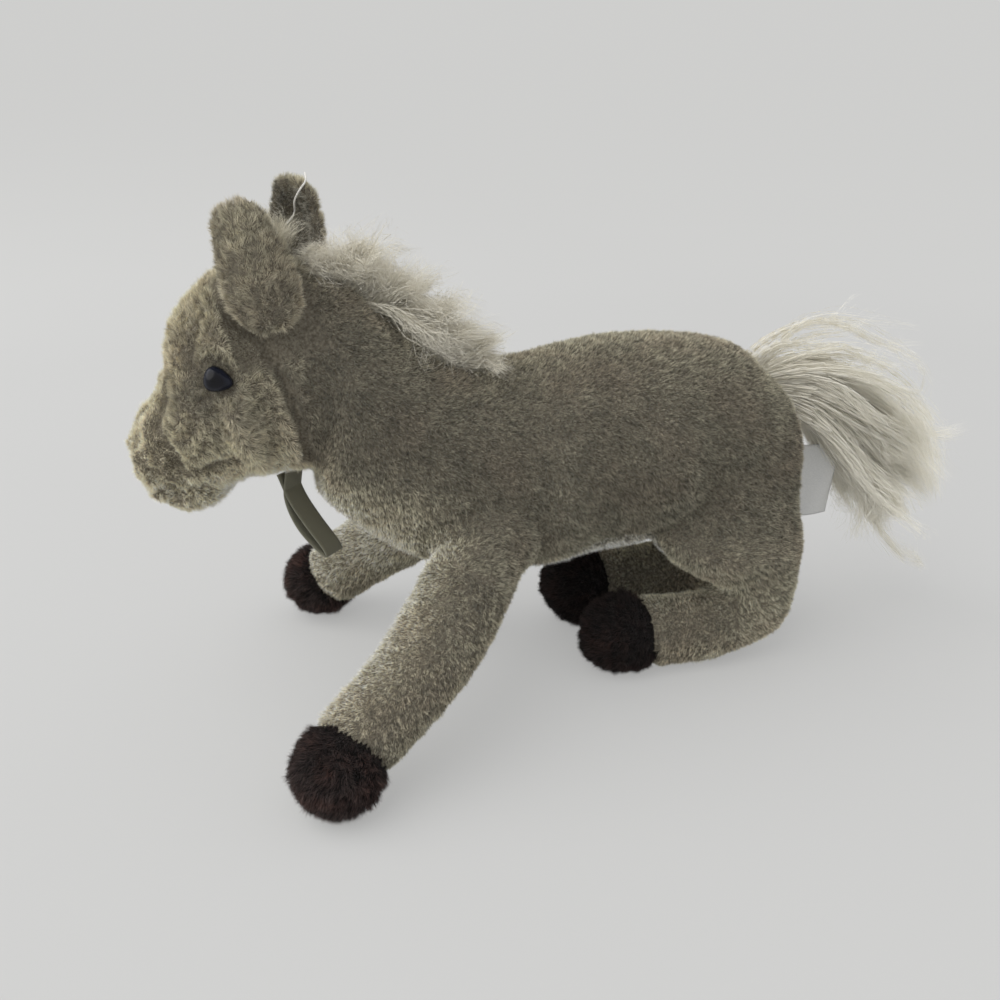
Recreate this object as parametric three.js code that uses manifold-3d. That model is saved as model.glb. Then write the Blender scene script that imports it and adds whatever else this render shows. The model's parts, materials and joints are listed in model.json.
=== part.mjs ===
// Plush foal, kneeling on its hind shanks with its forelegs stretched out.
// Millimetres, +Z up, the nose towards -X, the animal's left side towards -Y, floor at z = 0.
import * as THREE from 'three';
import { mergeVertices } from 'three/addons/utils/BufferGeometryUtils.js';
import Module from 'manifold-3d';

const wasm = await Module();
wasm.setup();

// Trunk: everything from the neck joint to the rump
const trunkLength = 214;
const backHeight = 142;
const trunkWidth = 75;

// Neck joint, a flattened ball that the head turns on
const neckBallHeight = 74;
const neckBallWidth = 53;
const neckJointHeight = 136;

// Head, measured from the neck joint, and how far it looks to its right, in degrees
const headLength = 68;
const headDepth = 86;
const headWidth = 61;
const headTurn = 16;
const chinLength = 33;
const chinDepth = 23;
const chinWidth = 31;

// Thighs and hind shanks
const thighWidth = 38;
const hockBallDiameter = 34;
const hockSpread = 24;
const hockLift = 5;
const shankLength = 61;
const shankDiameter = 32;
const leftShankToeIn = 4;
const rightShankToeIn = -3;

// Forelegs
const shoulderBallDiameter = 42;
const shoulderSpread = 22;
const shoulderHeight = 72;
const forelegDiameter = 35;
const leftForelegReach = 72;
const leftForelegSplay = 58;
const rightForelegReach = 57;
const rightForelegSplay = 47;

// Hooves
const hoofDiameter = 34;
const hoofLength = 27;
const soleDepth = 0.5;

// Cloth, filling and seams
const clothThickness = 2.6;
const fillingClearance = 0.4;
const sewnGap = 0.35;
const neckOpening = 42;
const bellyPanelLength = 118;
const bellyPanelWidth = 44;

// Ears
const earLength = 40;
const earWidth = 26;
const earThickness = 4.4;
const earLiningThickness = 1.8;
const earCup = 9;

// Eyes and their lock washers
const eyeLength = 10.5;
const eyeHeight = 8.5;
const eyeDome = 3.4;
const eyeSeat = 0.8;
const eyePostDiameter = 3;
const eyePostLength = 9;
const washerDiameter = 11;
const washerThickness = 1.2;
const washerClearance = 0.25;

// Hair
const maneHeight = 30;
const maneWidth = 17;
const forelockLength = 17;
const forelockWidth = 14;
const tailLength = 75;
const tailWidth = 27;
const tailDepth = 46;

// Ribbon, care label and hanging thread
const ribbonWidth = 10;
const ribbonThickness = 0.6;
const ribbonDrop = 35;
const labelLength = 34;
const labelWidth = 24;
const labelThickness = 0.7;
const threadDiameter = 0.7;

// How far each joint turns, in degrees
const headRaise = 10;
const forelegSwing = 9;
const shankSwing = 9;
const earFlex = 10;
const tailSwing = 14;
const labelFlap = 18;
const ribbonSwing = 18;

// Fineness of the surfaces
const trunkSides = 20;
const headSides = 16;
const limbSides = 12;
const ballSides = 16;
const eyeSides = 14;
const capSteps = 3;
const insideShare = 0.65;
const weldTolerance = 0.0001;
const cutOverrun = 400;

// What the pieces are made of: colour under soft light, and roughness
const plush = { color: 0x7d786c, roughness: 0.95 };
const bellyPlush = { color: 0x8f8b7c, roughness: 0.9 };
const hoofPlush = { color: 0x2d2624, roughness: 0.9 };
const hair = { color: 0xc8c3b4, roughness: 1 };
const fibre = { color: 0xf0efe9, roughness: 1 };
const eyePlastic = { color: 0x14161c, roughness: 0.12 };
const washerPlastic = { color: 0xe6e6e2, roughness: 0.5 };
const ribbonCloth = { color: 0x505044, roughness: 0.6 };
const satin = { color: 0xe9e9e6, roughness: 0.4 };
const cotton = { color: 0xf2f0ea, roughness: 0.8 };

const UP = new THREE.Vector3(0, 0, 1);
const ACROSS = new THREE.Vector3(0, 1, 0);
const ALONG = new THREE.Vector3(1, 0, 0);
const sweepCopies = 1;
const smallestShare = 0.15;

const group = new THREE.Group();

function vector(x, y, z) {
  return new THREE.Vector3(x, y, z);
}

function radians(degrees) {
  return THREE.MathUtils.degToRad(degrees);
}

// Six times the volume inside a closed surface, negative where its faces point inwards
function signedVolume(positions, index) {
  let sum = 0;
  const [a, b, c] = [vector(), vector(), vector()];
  for (let k = 0; k < index.length; k += 3) {
    a.fromArray(positions, index[k] * 3);
    b.fromArray(positions, index[k + 1] * 3);
    c.fromArray(positions, index[k + 2] * 3);
    sum += a.dot(b.cross(c));
  }
  return sum;
}

// Closed solid for joining and cutting, with its faces outwards
function solidOf(geometry) {
  const bare = geometry.clone();
  bare.deleteAttribute('normal');
  bare.deleteAttribute('uv');
  const welded = mergeVertices(bare, weldTolerance);
  const vertProperties = new Float32Array(welded.attributes.position.array);
  const triVerts = new Uint32Array(welded.index.array);
  if (signedVolume(vertProperties, triVerts) < 0) {
    triVerts.reverse();
  }
  return new wasm.Manifold(new wasm.Mesh({ numProp: 3, vertProperties, triVerts }));
}

function geometryOf(solid) {
  const mesh = solid.getMesh();
  const geometry = new THREE.BufferGeometry();
  geometry.setAttribute('position', new THREE.BufferAttribute(new Float32Array(mesh.vertProperties), 3));
  geometry.setIndex(new THREE.BufferAttribute(new Uint32Array(mesh.triVerts), 1));
  geometry.computeVertexNormals();
  return geometry;
}

function joined(solids) {
  return solids.reduce((sum, solid) => sum.add(solid));
}

function addMesh(name, solid, stuff) {
  const part = new THREE.Mesh(geometryOf(solid), new THREE.MeshStandardMaterial({ ...stuff, metalness: 0 }));
  part.name = name;
  group.add(part);
}

// A ring is a centre with half its height and half its breadth as vectors
function ring(centre, rise, side) {
  return { centre, rise, side };
}

function grown(half, grow) {
  return half.clone().setLength(Math.max(half.length() + grow, half.length() * smallestShare));
}

// Surfaces that lie inside the cloth are made of fewer faces
function fineness(count, grow) {
  return grow < 0 ? Math.round(count * insideShare) : count;
}

// A stuffed form that swells and tapers through its rings and is domed at both ends
function swollen(rings, domes, outerSides, outerSteps, grow = 0) {
  const sides = fineness(outerSides, grow);
  const steps = fineness(outerSteps, grow);
  const path = (points) => new THREE.CatmullRomCurve3(points, false, 'centripetal');
  const centres = path(rings.map((one) => one.centre));
  const rises = path(rings.map((one) => grown(one.rise, grow)));
  const breadths = path(rings.map((one) => grown(one.side, grow)));
  const at = (t, shift, scale) => ring(
    centres.getPoint(t).addScaledVector(centres.getTangent(t), shift),
    rises.getPoint(t).multiplyScalar(scale),
    breadths.getPoint(t).multiplyScalar(scale),
  );
  const caps = domes.map((dome) => Math.max(dome + grow, dome * smallestShare));
  const levels = [];
  for (let k = 1; k <= capSteps; k += 1) {
    const angle = (Math.PI / 2) * (1 - k / capSteps);
    levels.push(at(0, -caps[0] * Math.sin(angle), Math.cos(angle)));
  }
  for (let k = 1; k < steps; k += 1) {
    levels.push(at(k / steps, 0, 1));
  }
  for (let k = 0; k < capSteps; k += 1) {
    const angle = (Math.PI / 2) * (k / capSteps);
    levels.push(at(1, caps[1] * Math.sin(angle), Math.cos(angle)));
  }
  const turned = levels[0].side.clone().cross(levels[0].rise).dot(centres.getTangent(0)) < 0;
  const ends = [at(0, -caps[0], 1).centre, at(1, caps[1], 1).centre];
  return solidOf(skinOfLevels(levels, sides, ends, turned ? -1 : 1));
}

// The closed surface through level rings and two end points
function skinOfLevels(levels, sides, ends, hand) {
  const positions = [];
  const index = [];
  levels.forEach((level) => {
    for (let j = 0; j < sides; j += 1) {
      const angle = (2 * Math.PI * j) / sides;
      const point = level.centre.clone().addScaledVector(level.side, hand * Math.cos(angle));
      positions.push(...point.addScaledVector(level.rise, Math.sin(angle)).toArray());
    }
  });
  const firstEnd = positions.length / 3;
  ends.forEach((end) => positions.push(...end.toArray()));
  const lastRow = (levels.length - 1) * sides;
  for (let j = 0; j < sides; j += 1) {
    const next = (j + 1) % sides;
    for (let row = 0; row < lastRow; row += sides) {
      index.push(row + j, row + next, row + sides + next);
      index.push(row + j, row + sides + next, row + sides + j);
    }
    index.push(firstEnd, next, j);
    index.push(firstEnd + 1, lastRow + j, lastRow + next);
  }
  const geometry = new THREE.BufferGeometry();
  geometry.setAttribute('position', new THREE.Float32BufferAttribute(positions, 3));
  geometry.setIndex(index);
  return geometry;
}

// Rings of a round limb along a path, from points and radii
function limbRings(points, radii) {
  const path = new THREE.CatmullRomCurve3(points, false, 'centripetal');
  return points.map((point, k) => {
    const tangent = path.getTangent(k / (points.length - 1));
    const side = tangent.clone().cross(UP).setLength(radii[k]);
    return ring(point, side.clone().cross(tangent).setLength(radii[k]), side);
  });
}

// A ball flattened across, round about the Y direction or about that direction turned from it
function ball(centre, diameter, width, grow = 0, turn = 0) {
  const sides = fineness(ballSides, grow);
  const geometry = new THREE.SphereGeometry(1, sides, Math.round(sides / 2));
  geometry.scale(diameter / 2 + grow, width / 2 + grow, diameter / 2 + grow);
  geometry.rotateZ(-radians(turn));
  geometry.translate(centre.x, centre.y, centre.z);
  return solidOf(geometry);
}

// The room that a ball needs to turn in, its flat facets allowed for
function ballRoom(centre, diameter, width, clearance, turn = 0) {
  const facets = (diameter / 2) * (1 / Math.cos(Math.PI / ballSides) - 1);
  return ball(centre, diameter, width, clearance + facets, turn);
}

// A block far larger than the toy, on the side of a point that a direction shows
function halfSpace(point, direction) {
  const geometry = new THREE.BoxGeometry(cutOverrun, cutOverrun, cutOverrun);
  geometry.translate(0, 0, cutOverrun / 2);
  geometry.applyQuaternion(new THREE.Quaternion().setFromUnitVectors(UP, direction.clone().normalize()));
  geometry.translate(point.x, point.y, point.z);
  return solidOf(geometry);
}

// The room that a solid takes while it turns both ways about a hinge
function swept(solid, pivot, axis, degrees) {
  const turned = [];
  for (let k = -sweepCopies; k <= sweepCopies; k += 1) {
    const turn = new THREE.Matrix4().makeRotationAxis(axis, radians((degrees * k) / sweepCopies));
    const there = new THREE.Matrix4().makeTranslation(pivot.x, pivot.y, pivot.z);
    const back = new THREE.Matrix4().makeTranslation(-pivot.x, -pivot.y, -pivot.z);
    turned.push(solid.transform(there.multiply(turn).multiply(back).elements));
  }
  return joined(turned);
}

// Where a straight line first meets a solid
function touch(solid, from, direction) {
  const mesh = new THREE.Mesh(geometryOf(solid), new THREE.MeshBasicMaterial({ side: THREE.DoubleSide }));
  const hit = new THREE.Raycaster(from, direction).intersectObject(mesh)[0];
  return { point: hit.point, normal: hit.face.normal.clone() };
}

// A sheet of even thickness over a surface given by up and across, each from 0 to 1
function sheet(pointAt, low, high, rows, columns) {
  const small = 1 / (rows * columns);
  const normalAt = (u, v) => {
    const alongU = pointAt(Math.min(u + small, 1), v).sub(pointAt(Math.max(u - small, 0), v));
    const alongV = pointAt(u, Math.min(v + small, 1)).sub(pointAt(u, Math.max(v - small, 0)));
    return alongU.cross(alongV).normalize();
  };
  const positions = [];
  [low, high].forEach((offset) => {
    for (let i = 0; i <= rows; i += 1) {
      for (let j = 0; j <= columns; j += 1) {
        const point = pointAt(i / rows, j / columns);
        positions.push(...point.addScaledVector(normalAt(i / rows, j / columns), offset).toArray());
      }
    }
  });
  const wide = columns + 1;
  const layer = wide * (rows + 1);
  const index = [];
  const quad = (a, b, c, d) => index.push(a, b, c, a, c, d);
  for (let i = 0; i < rows; i += 1) {
    for (let j = 0; j < columns; j += 1) {
      const corner = i * wide + j;
      quad(corner, corner + 1, corner + wide + 1, corner + wide);
      quad(layer + corner, layer + corner + wide, layer + corner + wide + 1, layer + corner + 1);
    }
    const left = i * wide;
    const right = left + columns;
    quad(left, left + wide, layer + left + wide, layer + left);
    quad(right, layer + right, layer + right + wide, right + wide);
  }
  for (let j = 0; j < columns; j += 1) {
    const far = rows * wide + j;
    quad(j, layer + j, layer + j + 1, j + 1);
    quad(far, far + 1, layer + far + 1, layer + far);
  }
  const geometry = new THREE.BufferGeometry();
  geometry.setAttribute('position', new THREE.Float32BufferAttribute(positions, 3));
  geometry.setIndex(index);
  return solidOf(geometry);
}

const belowFloor = halfSpace(vector(0, 0, 0), UP.clone().negate());

// Sides that mirror each other
const hands = [{ name: 'left', sign: -1 }, { name: 'right', sign: 1 }];

// Joint centres
const neckShare = -0.355;
const shoulderShare = -0.047;
const hockShare = 0.505;
const neckJoint = vector(neckShare * trunkLength, 0, neckJointHeight);
function shoulderJoint(sign) {
  return vector(shoulderShare * trunkLength, sign * shoulderSpread, shoulderHeight);
}
function hockJoint(sign) {
  return vector(hockShare * trunkLength, sign * hockSpread, hockBallDiameter / 2 + soleDepth + hockLift);
}

// Trunk

// Side outline from neck to rump. Each ring has the place of its top and of its underside, along as a
// share of the trunk's length and up as a share of the back's height, then its breadth as a share of
// the trunk's width.
const trunkRingShares = [
  [-0.33, 1.19, -0.332, 0.73, 0.66],
  [-0.271, 1.2, -0.329, 0.602, 0.83],
  [-0.187, 1.077, -0.257, 0.482, 0.92],
  [-0.098, 0.968, -0.14, 0.373, 0.985],
  [0.037, 0.954, 0.04, 0.327, 1],
  [0.173, 0.989, 0.187, 0.363, 1],
  [0.35, 0.986, 0.36, 0.394, 1],
  [0.472, 0.947, 0.486, 0.408, 0.97],
  [0.547, 0.852, 0.565, 0.437, 0.84],
];
const trunkDomeShares = [0.015, 0.09];
const trunkSteps = 15;

function trunkRings() {
  return trunkRingShares.map(([topAlong, topUp, underAlong, underUp, breadth]) => {
    const top = vector(topAlong * trunkLength, 0, topUp * backHeight);
    const under = vector(underAlong * trunkLength, 0, underUp * backHeight);
    const centre = top.clone().add(under).divideScalar(2);
    return ring(centre, top.sub(centre), ACROSS.clone().multiplyScalar((breadth * trunkWidth) / 2));
  });
}

// Thigh from the hip down to the hock. Each ring has its place along and half its length as shares of
// the trunk's length, its height as a share of the back's, its breadth as a share of the thigh's width
// and how far out it stands as a share of the hock's.
const thighRingShares = [
  [0.458, 0.16, 0.67, 0.95, 0.7],
  [0.449, 0.168, 0.437, 1, 0.855],
  [0.47, 0.144, 0.325, 1, 0.96],
  [0.51, 0.09, 0.25, 0.92, 1.02],
  [0.517, 0.08, 0.195, 0.86, 1],
];
const thighDomeShares = [0.08, 0.02];
const thighSteps = 6;

function thighRings(sign) {
  return thighRingShares.map(([along, half, up, breadth, out]) => ring(
    vector(along * trunkLength, sign * out * hockSpread, up * backHeight),
    ACROSS.clone().multiplyScalar((breadth * thighWidth) / 2),
    ALONG.clone().multiplyScalar(half * trunkLength),
  ));
}

function shares(list, length) {
  return list.map((share) => share * length);
}

function barrelForm(grow) {
  return swollen(trunkRings(), shares(trunkDomeShares, trunkLength), trunkSides, trunkSteps, grow);
}

function thighForm(sign, grow) {
  return swollen(thighRings(sign), shares(thighDomeShares, trunkLength), limbSides, thighSteps, grow);
}

// The trunk: barrel with neck, and the balls that the head and the forelegs turn on
function trunkForm(grow) {
  const parts = [barrelForm(grow), ball(neckJoint, neckBallHeight, neckBallWidth, grow, headTurn)];
  hands.forEach(({ sign }) => {
    parts.push(ball(shoulderJoint(sign), shoulderBallDiameter, shoulderBallDiameter, grow));
  });
  return joined(parts);
}

// A haunch: thigh with the ball that its shank turns on
function haunchForm(sign, grow) {
  return thighForm(sign, grow).add(ball(hockJoint(sign), hockBallDiameter, hockBallDiameter, grow));
}

// An upright prism over a pointed oval, which marks out the panel under the belly
const bellyCentreShare = 0.1;
function bellyPrism(grow) {
  const outline = new THREE.Shape();
  const half = bellyPanelLength / 2 + grow;
  const bulge = bellyPanelWidth + grow + grow;
  outline.moveTo(-half, 0);
  outline.quadraticCurveTo(0, bulge, half, 0);
  outline.quadraticCurveTo(0, -bulge, -half, 0);
  const prism = new THREE.ExtrudeGeometry(outline, { depth: shoulderHeight, bevelEnabled: false });
  prism.translate(bellyCentreShare * trunkLength, 0, 0);
  return solidOf(prism);
}

const trunkOutside = trunkForm(0);
const trunkCut = trunkForm(sewnGap);
const neckHole = (() => {
  const tube = new THREE.CylinderGeometry(neckOpening / 2, neckOpening / 2, cutOverrun, limbSides);
  tube.rotateZ(Math.PI / 2);
  tube.translate(neckJoint.x - cutOverrun / 2, 0, neckJoint.z);
  return solidOf(tube);
})();
const trunkSkin = trunkOutside.subtract(trunkForm(-clothThickness)).subtract(neckHole);
addMesh('trunk_skin', trunkSkin.subtract(bellyPrism(sewnGap)), plush);
addMesh('belly_panel', trunkSkin.intersect(bellyPrism(0)), bellyPlush);
addMesh('trunk_filling', trunkForm(-clothThickness - fillingClearance), fibre);

// Haunches, stuffed and closed against the cloth of the barrel
hands.forEach(({ name, sign }) => {
  const haunch = haunchForm(sign, 0).subtract(haunchForm(sign, -clothThickness));
  const filling = haunchForm(sign, -clothThickness - fillingClearance);
  addMesh(`haunch_${name}_skin`, haunch.subtract(trunkCut), plush);
  addMesh(`haunch_${name}_filling`, filling.subtract(trunkCut), fibre);
});
const rearCut = joined([trunkCut, ...hands.map(({ sign }) => haunchForm(sign, sewnGap))]);

// Head

// Side outline from the nose back to the neck. Each ring has the place of its top and of its underside,
// forward of the neck joint as a share of the head's length and up as a share of the head's depth, then
// its breadth as a share of the head's width.
const headRingShares = [
  [0.945, -0.25, 0.93, -0.44, 0.46],
  [0.916, -0.192, 0.89, -0.506, 0.62],
  [0.831, -0.099, 0.78, -0.535, 0.69],
  [0.75, 0, 0.64, -0.535, 0.79],
  [0.706, 0.128, 0.515, -0.523, 0.88],
  [0.64, 0.279, 0.39, -0.494, 0.96],
  [0.493, 0.39, 0.265, -0.465, 1],
  [0.25, 0.5, 0.118, -0.448, 1],
  [-0.06, 0.465, -0.06, -0.442, 0.93],
];
const headDomeShares = [0.055, 0.05];
const headSteps = 13;
const chinForwardShare = 0.676;
const chinUpShare = -0.5;

function headPoint(forward, up) {
  return vector(neckJoint.x - forward * headLength, 0, neckJoint.z + up * headDepth);
}

function headRings() {
  return headRingShares.map(([topForward, topUp, underForward, underUp, breadth]) => {
    const top = headPoint(topForward, topUp);
    const centre = top.clone().add(headPoint(underForward, underUp)).divideScalar(2);
    return ring(centre, top.sub(centre), ACROSS.clone().multiplyScalar((breadth * headWidth) / 2));
  });
}

function headForm(grow) {
  const chin = new THREE.SphereGeometry(1, fineness(limbSides, grow), fineness(limbSides, grow));
  chin.scale(chinLength / 2 + grow, chinWidth / 2 + grow, chinDepth / 2 + grow);
  chin.translate(...headPoint(chinForwardShare, chinUpShare).toArray());
  const face = swollen(headRings(), shares(headDomeShares, headLength), headSides, headSteps, grow);
  return face.add(solidOf(chin));
}

// The head is modelled looking straight ahead and then turned about the upright line at the neck joint
const lookAside = new THREE.Matrix4().makeTranslation(neckJoint.x, neckJoint.y, neckJoint.z)
  .multiply(new THREE.Matrix4().makeRotationZ(-radians(headTurn)))
  .multiply(new THREE.Matrix4().makeTranslation(-neckJoint.x, -neckJoint.y, -neckJoint.z));

// The head ends at a seam that leans forward, and it nods over the neck, here as the unturned head sees it
const neckSeamForwardShare = 0.05;
const neckSeamLeanShare = 0.06;
const behindSeam = halfSpace(headPoint(neckSeamForwardShare, 0), vector(1, 0, neckSeamLeanShare));
const neckTurned = barrelForm(sewnGap).transform(lookAside.clone().invert().elements);
const noddedNeck = swept(neckTurned, neckJoint, ACROSS, headRaise);
const headEnd = noddedNeck.add(behindSeam);
const neckRoom = ballRoom(neckJoint, neckBallHeight, neckBallWidth, sewnGap).add(headEnd);
const headOutside = headForm(0);

function addHeadMesh(name, solid, stuff) {
  addMesh(name, solid.transform(lookAside.elements), stuff);
}

// A place frame on the head's cheek: origin on the cloth, third axis outwards, first axis tilted down
// towards the neck
function cheekFrame(sign, forward, up, tilt) {
  const spot = headPoint(forward, up);
  const hit = touch(headOutside, spot.clone().setY(sign * cutOverrun), ACROSS.clone().multiplyScalar(-sign));
  const back = vector(Math.cos(radians(tilt)), 0, -Math.sin(radians(tilt)));
  const across = hit.normal.clone().cross(back).normalize();
  return new THREE.Matrix4().makeBasis(across.clone().cross(hit.normal), across, hit.normal).setPosition(hit.point);
}

// Eyes: an oval dome whose post goes through the cloth into a lock washer
const eyeForwardShare = 0.355;
const eyeUpShare = 0.05;
const eyeTilt = 25;

function turnedProfile(points, sides) {
  const outline = points.map(([radius, height]) => new THREE.Vector2(radius, height));
  const geometry = new THREE.LatheGeometry(outline, sides);
  geometry.rotateX(Math.PI / 2);
  return geometry;
}

function eyeForm(grow) {
  const profile = [[0, -eyeSeat - grow], [eyeLength / 2 + grow, -eyeSeat - grow]];
  for (let k = 0; k < capSteps; k += 1) {
    const angle = (Math.PI / 2) * (k / capSteps);
    profile.push([(eyeLength / 2 + grow) * Math.cos(angle), (eyeDome + grow) * Math.sin(angle)]);
  }
  profile.push([0, eyeDome + grow]);
  const dome = turnedProfile(profile, eyeSides);
  dome.scale(1, (eyeHeight / 2 + grow) / (eyeLength / 2 + grow), 1);
  const radius = eyePostDiameter / 2 + grow;
  const post = turnedProfile([[0, -eyePostLength - grow], [radius, -eyePostLength - grow], [radius, 0], [0, 0]], limbSides);
  return solidOf(dome).add(solidOf(post));
}

const washerDepth = clothThickness + fillingClearance;
function washerForm(hole, grow) {
  const near = -washerDepth + grow;
  const far = -washerDepth - washerThickness - grow;
  const rim = washerDiameter / 2 + grow;
  return solidOf(turnedProfile([[hole, far], [rim, far], [rim, near], [hole, near], [hole, far]], limbSides));
}

let headSkin = headOutside.subtract(headForm(-clothThickness)).subtract(neckRoom);
let headFilling = headForm(-clothThickness - fillingClearance).subtract(neckRoom);
hands.forEach(({ name, sign }) => {
  const frame = cheekFrame(sign, eyeForwardShare, eyeUpShare, eyeTilt).elements;
  const postHole = eyePostDiameter / 2 + washerClearance;
  const room = eyeForm(sewnGap).transform(frame);
  const washerRoom = washerForm(0, sewnGap).transform(frame);
  headSkin = headSkin.subtract(room).subtract(washerRoom);
  headFilling = headFilling.subtract(room).subtract(washerRoom);
  addHeadMesh(`eye_${name}`, eyeForm(0).transform(frame), eyePlastic);
  addHeadMesh(`eye_washer_${name}`, washerForm(postHole, 0).transform(frame), washerPlastic);
});
addHeadMesh('head_skin', headSkin, plush);
addHeadMesh('head_filling', headFilling, fibre);

// Ears: a cupped plush leaf with a short lining on the side it faces

// Width of an ear from its root to its tip, as a share of its widest
const earRootShare = 0.22;
const earTipShare = 0.94;
const earRoundShare = 0.75;
function earWidthShare(u) {
  return Math.sin(Math.PI * (earRootShare + (earTipShare - earRootShare) * u)) ** earRoundShare;
}

function earFrame({ sign, forwardShare, outShare, upShare, turn, forwardLean, outLean }) {
  const root = headPoint(forwardShare, upShare).setY(sign * outShare * headWidth);
  const up = vector(-Math.tan(radians(forwardLean)), sign * Math.tan(radians(outLean)), 1).normalize();
  const facing = vector(-Math.cos(radians(turn)), -sign * Math.sin(radians(turn)), 0);
  facing.addScaledVector(up, -facing.dot(up)).normalize();
  return { root, up, facing, breadth: up.clone().cross(facing) };
}

const ears = [
  {
    name: 'left', sign: -1, forwardShare: 0.07, outShare: 0.4, upShare: 0.25, turn: 68, forwardLean: 12, outLean: 4,
  },
  {
    name: 'right', sign: 1, forwardShare: 0.14, outShare: 0.38, upShare: 0.32, turn: 40, forwardLean: -16, outLean: 9,
  },
];
const liningInsetShare = 0.8;
const earPivotShare = 0.7;
const earRows = 7;
const earColumns = 6;
const liningColumns = 4;
ears.forEach((ear) => {
  const { root, up, facing, breadth } = earFrame(ear);
  const point = (u, v) => {
    const across = 2 * v - 1;
    const width = earWidthShare(u);
    return root.clone().addScaledVector(up, u * earLength)
      .addScaledVector(breadth, (across * width * earWidth) / 2)
      .addScaledVector(facing, -earCup * width * (1 - across * across) + earCup * u * u);
  };
  const liningPoint = (u, v) => point(u * earTipShare, 0.5 + (v - 0.5) * liningInsetShare);
  const pivot = root.clone().addScaledVector(facing, -earPivotShare * earCup);
  const headRoom = swept(headForm(sewnGap).add(noddedNeck), pivot, breadth, earFlex);
  const back = sheet(point, 0, earThickness, earRows, earColumns).subtract(headRoom);
  const lining = sheet(liningPoint, -sewnGap - earLiningThickness, -sewnGap, earRows, liningColumns).subtract(headRoom);
  addHeadMesh(`ear_${ear.name}`, back, plush);
  addHeadMesh(`ear_lining_${ear.name}`, lining, bellyPlush);
});

// Forelegs and their hooves

// How far along each ring of a foreleg lies from the shoulder joint to the hoof's centre, how thick the
// leg is there as a share of its own thickness, and how far it bows outwards as a share of its length.
// A shank also has how far it is lifted off the floor, as a share of the hock's lift.
const forelegRingShares = [
  [0, 0.96, 0],
  [0.25, 1.04, 0.04],
  [0.5, 1.03, 0.06],
  [0.68, 0.96, 0.045],
];
const shankRingShares = [
  [0, 0.88, 0, 1],
  [0.3, 1, 0, 0.05],
  [0.55, 0.97, 0, 0],
];
const limbSteps = 8;
const hoofRingShares = [0.97, 1];

// A limb from its joint to its hoof: rings, and the plane where the hoof begins
function limb(joint, sole, thickness, ringShares, seated) {
  const span = sole.clone().sub(joint);
  const outward = vector(-span.y, span.x, 0).setLength(span.length()).multiplyScalar(-Math.sign(joint.y));
  const radii = ringShares.map(([, thick]) => (thick * thickness) / 2);
  const points = ringShares.map(([along, , bow, lift], k) => {
    const point = joint.clone().addScaledVector(span, along).addScaledVector(outward, bow);
    return seated ? point.setZ(radii[k] - soleDepth + lift * hockLift) : point;
  });
  const hoofStart = 1 - (hoofLength - hoofDiameter / 2) / span.length();
  hoofRingShares.forEach((share, k) => {
    radii.push((share * hoofDiameter) / 2);
    points.push(joint.clone().addScaledVector(span, k ? 1 : hoofStart));
  });
  if (seated) {
    points.slice(-2).forEach((point, k) => point.setZ((hoofRingShares[k] * hoofDiameter) / 2 - soleDepth));
  }
  const rings = limbRings(points, radii);
  const seamPoint = points[points.length - 2];
  return {
    form: (grow) => swollen(rings, [radii[0] / 2, hoofDiameter / 2], limbSides, limbSteps, grow),
    beyondSeam: (shift) => halfSpace(seamPoint.clone().addScaledVector(span.clone().normalize(), shift), span),
  };
}

function addLimb(name, part, joint, diameter, neighbour, swing) {
  const turning = swept(neighbour, joint, ACROSS, swing);
  const jointRoom = (clearance) => ballRoom(joint, diameter, diameter, clearance).add(turning).add(belowFloor);
  const outside = part.form(0).subtract(jointRoom(sewnGap));
  const skin = outside.subtract(part.form(-clothThickness)).subtract(part.beyondSeam(-sewnGap));
  const filling = part.form(-clothThickness - fillingClearance).subtract(jointRoom(fillingClearance));
  addMesh(`${name}_skin`, skin, plush);
  addMesh(`${name}_filling`, filling.subtract(part.beyondSeam(-sewnGap)), fibre);
  addMesh(`${name}_hoof`, outside.intersect(part.beyondSeam(0)), hoofPlush);
}

const hoofHeight = hoofDiameter / 2 - soleDepth;
const forelegs = [
  { name: 'foreleg_left', sign: -1, reach: leftForelegReach, splay: leftForelegSplay },
  { name: 'foreleg_right', sign: 1, reach: rightForelegReach, splay: rightForelegSplay },
];
forelegs.forEach(({ name, sign, reach, splay }) => {
  const joint = shoulderJoint(sign);
  const sole = joint.clone().add(vector(-reach, sign * splay, 0)).setZ(hoofHeight);
  const leg = limb(joint, sole, forelegDiameter, forelegRingShares, false);
  addLimb(name, leg, joint, shoulderBallDiameter, barrelForm(sewnGap), forelegSwing);
});

const hindlegs = [
  { name: 'hindleg_left', sign: -1, toeIn: leftShankToeIn },
  { name: 'hindleg_right', sign: 1, toeIn: rightShankToeIn },
];
hindlegs.forEach(({ name, sign, toeIn }) => {
  const joint = hockJoint(sign);
  const sole = joint.clone().add(vector(-shankLength, -sign * toeIn, 0)).setZ(hoofHeight);
  const leg = limb(joint, sole, shankDiameter, shankRingShares, true);
  addLimb(name, leg, joint, hockBallDiameter, thighForm(sign, sewnGap), shankSwing);
});

// Hair: mane along the crest of the neck, forelock between the ears, tail in the rump's seam

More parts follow.
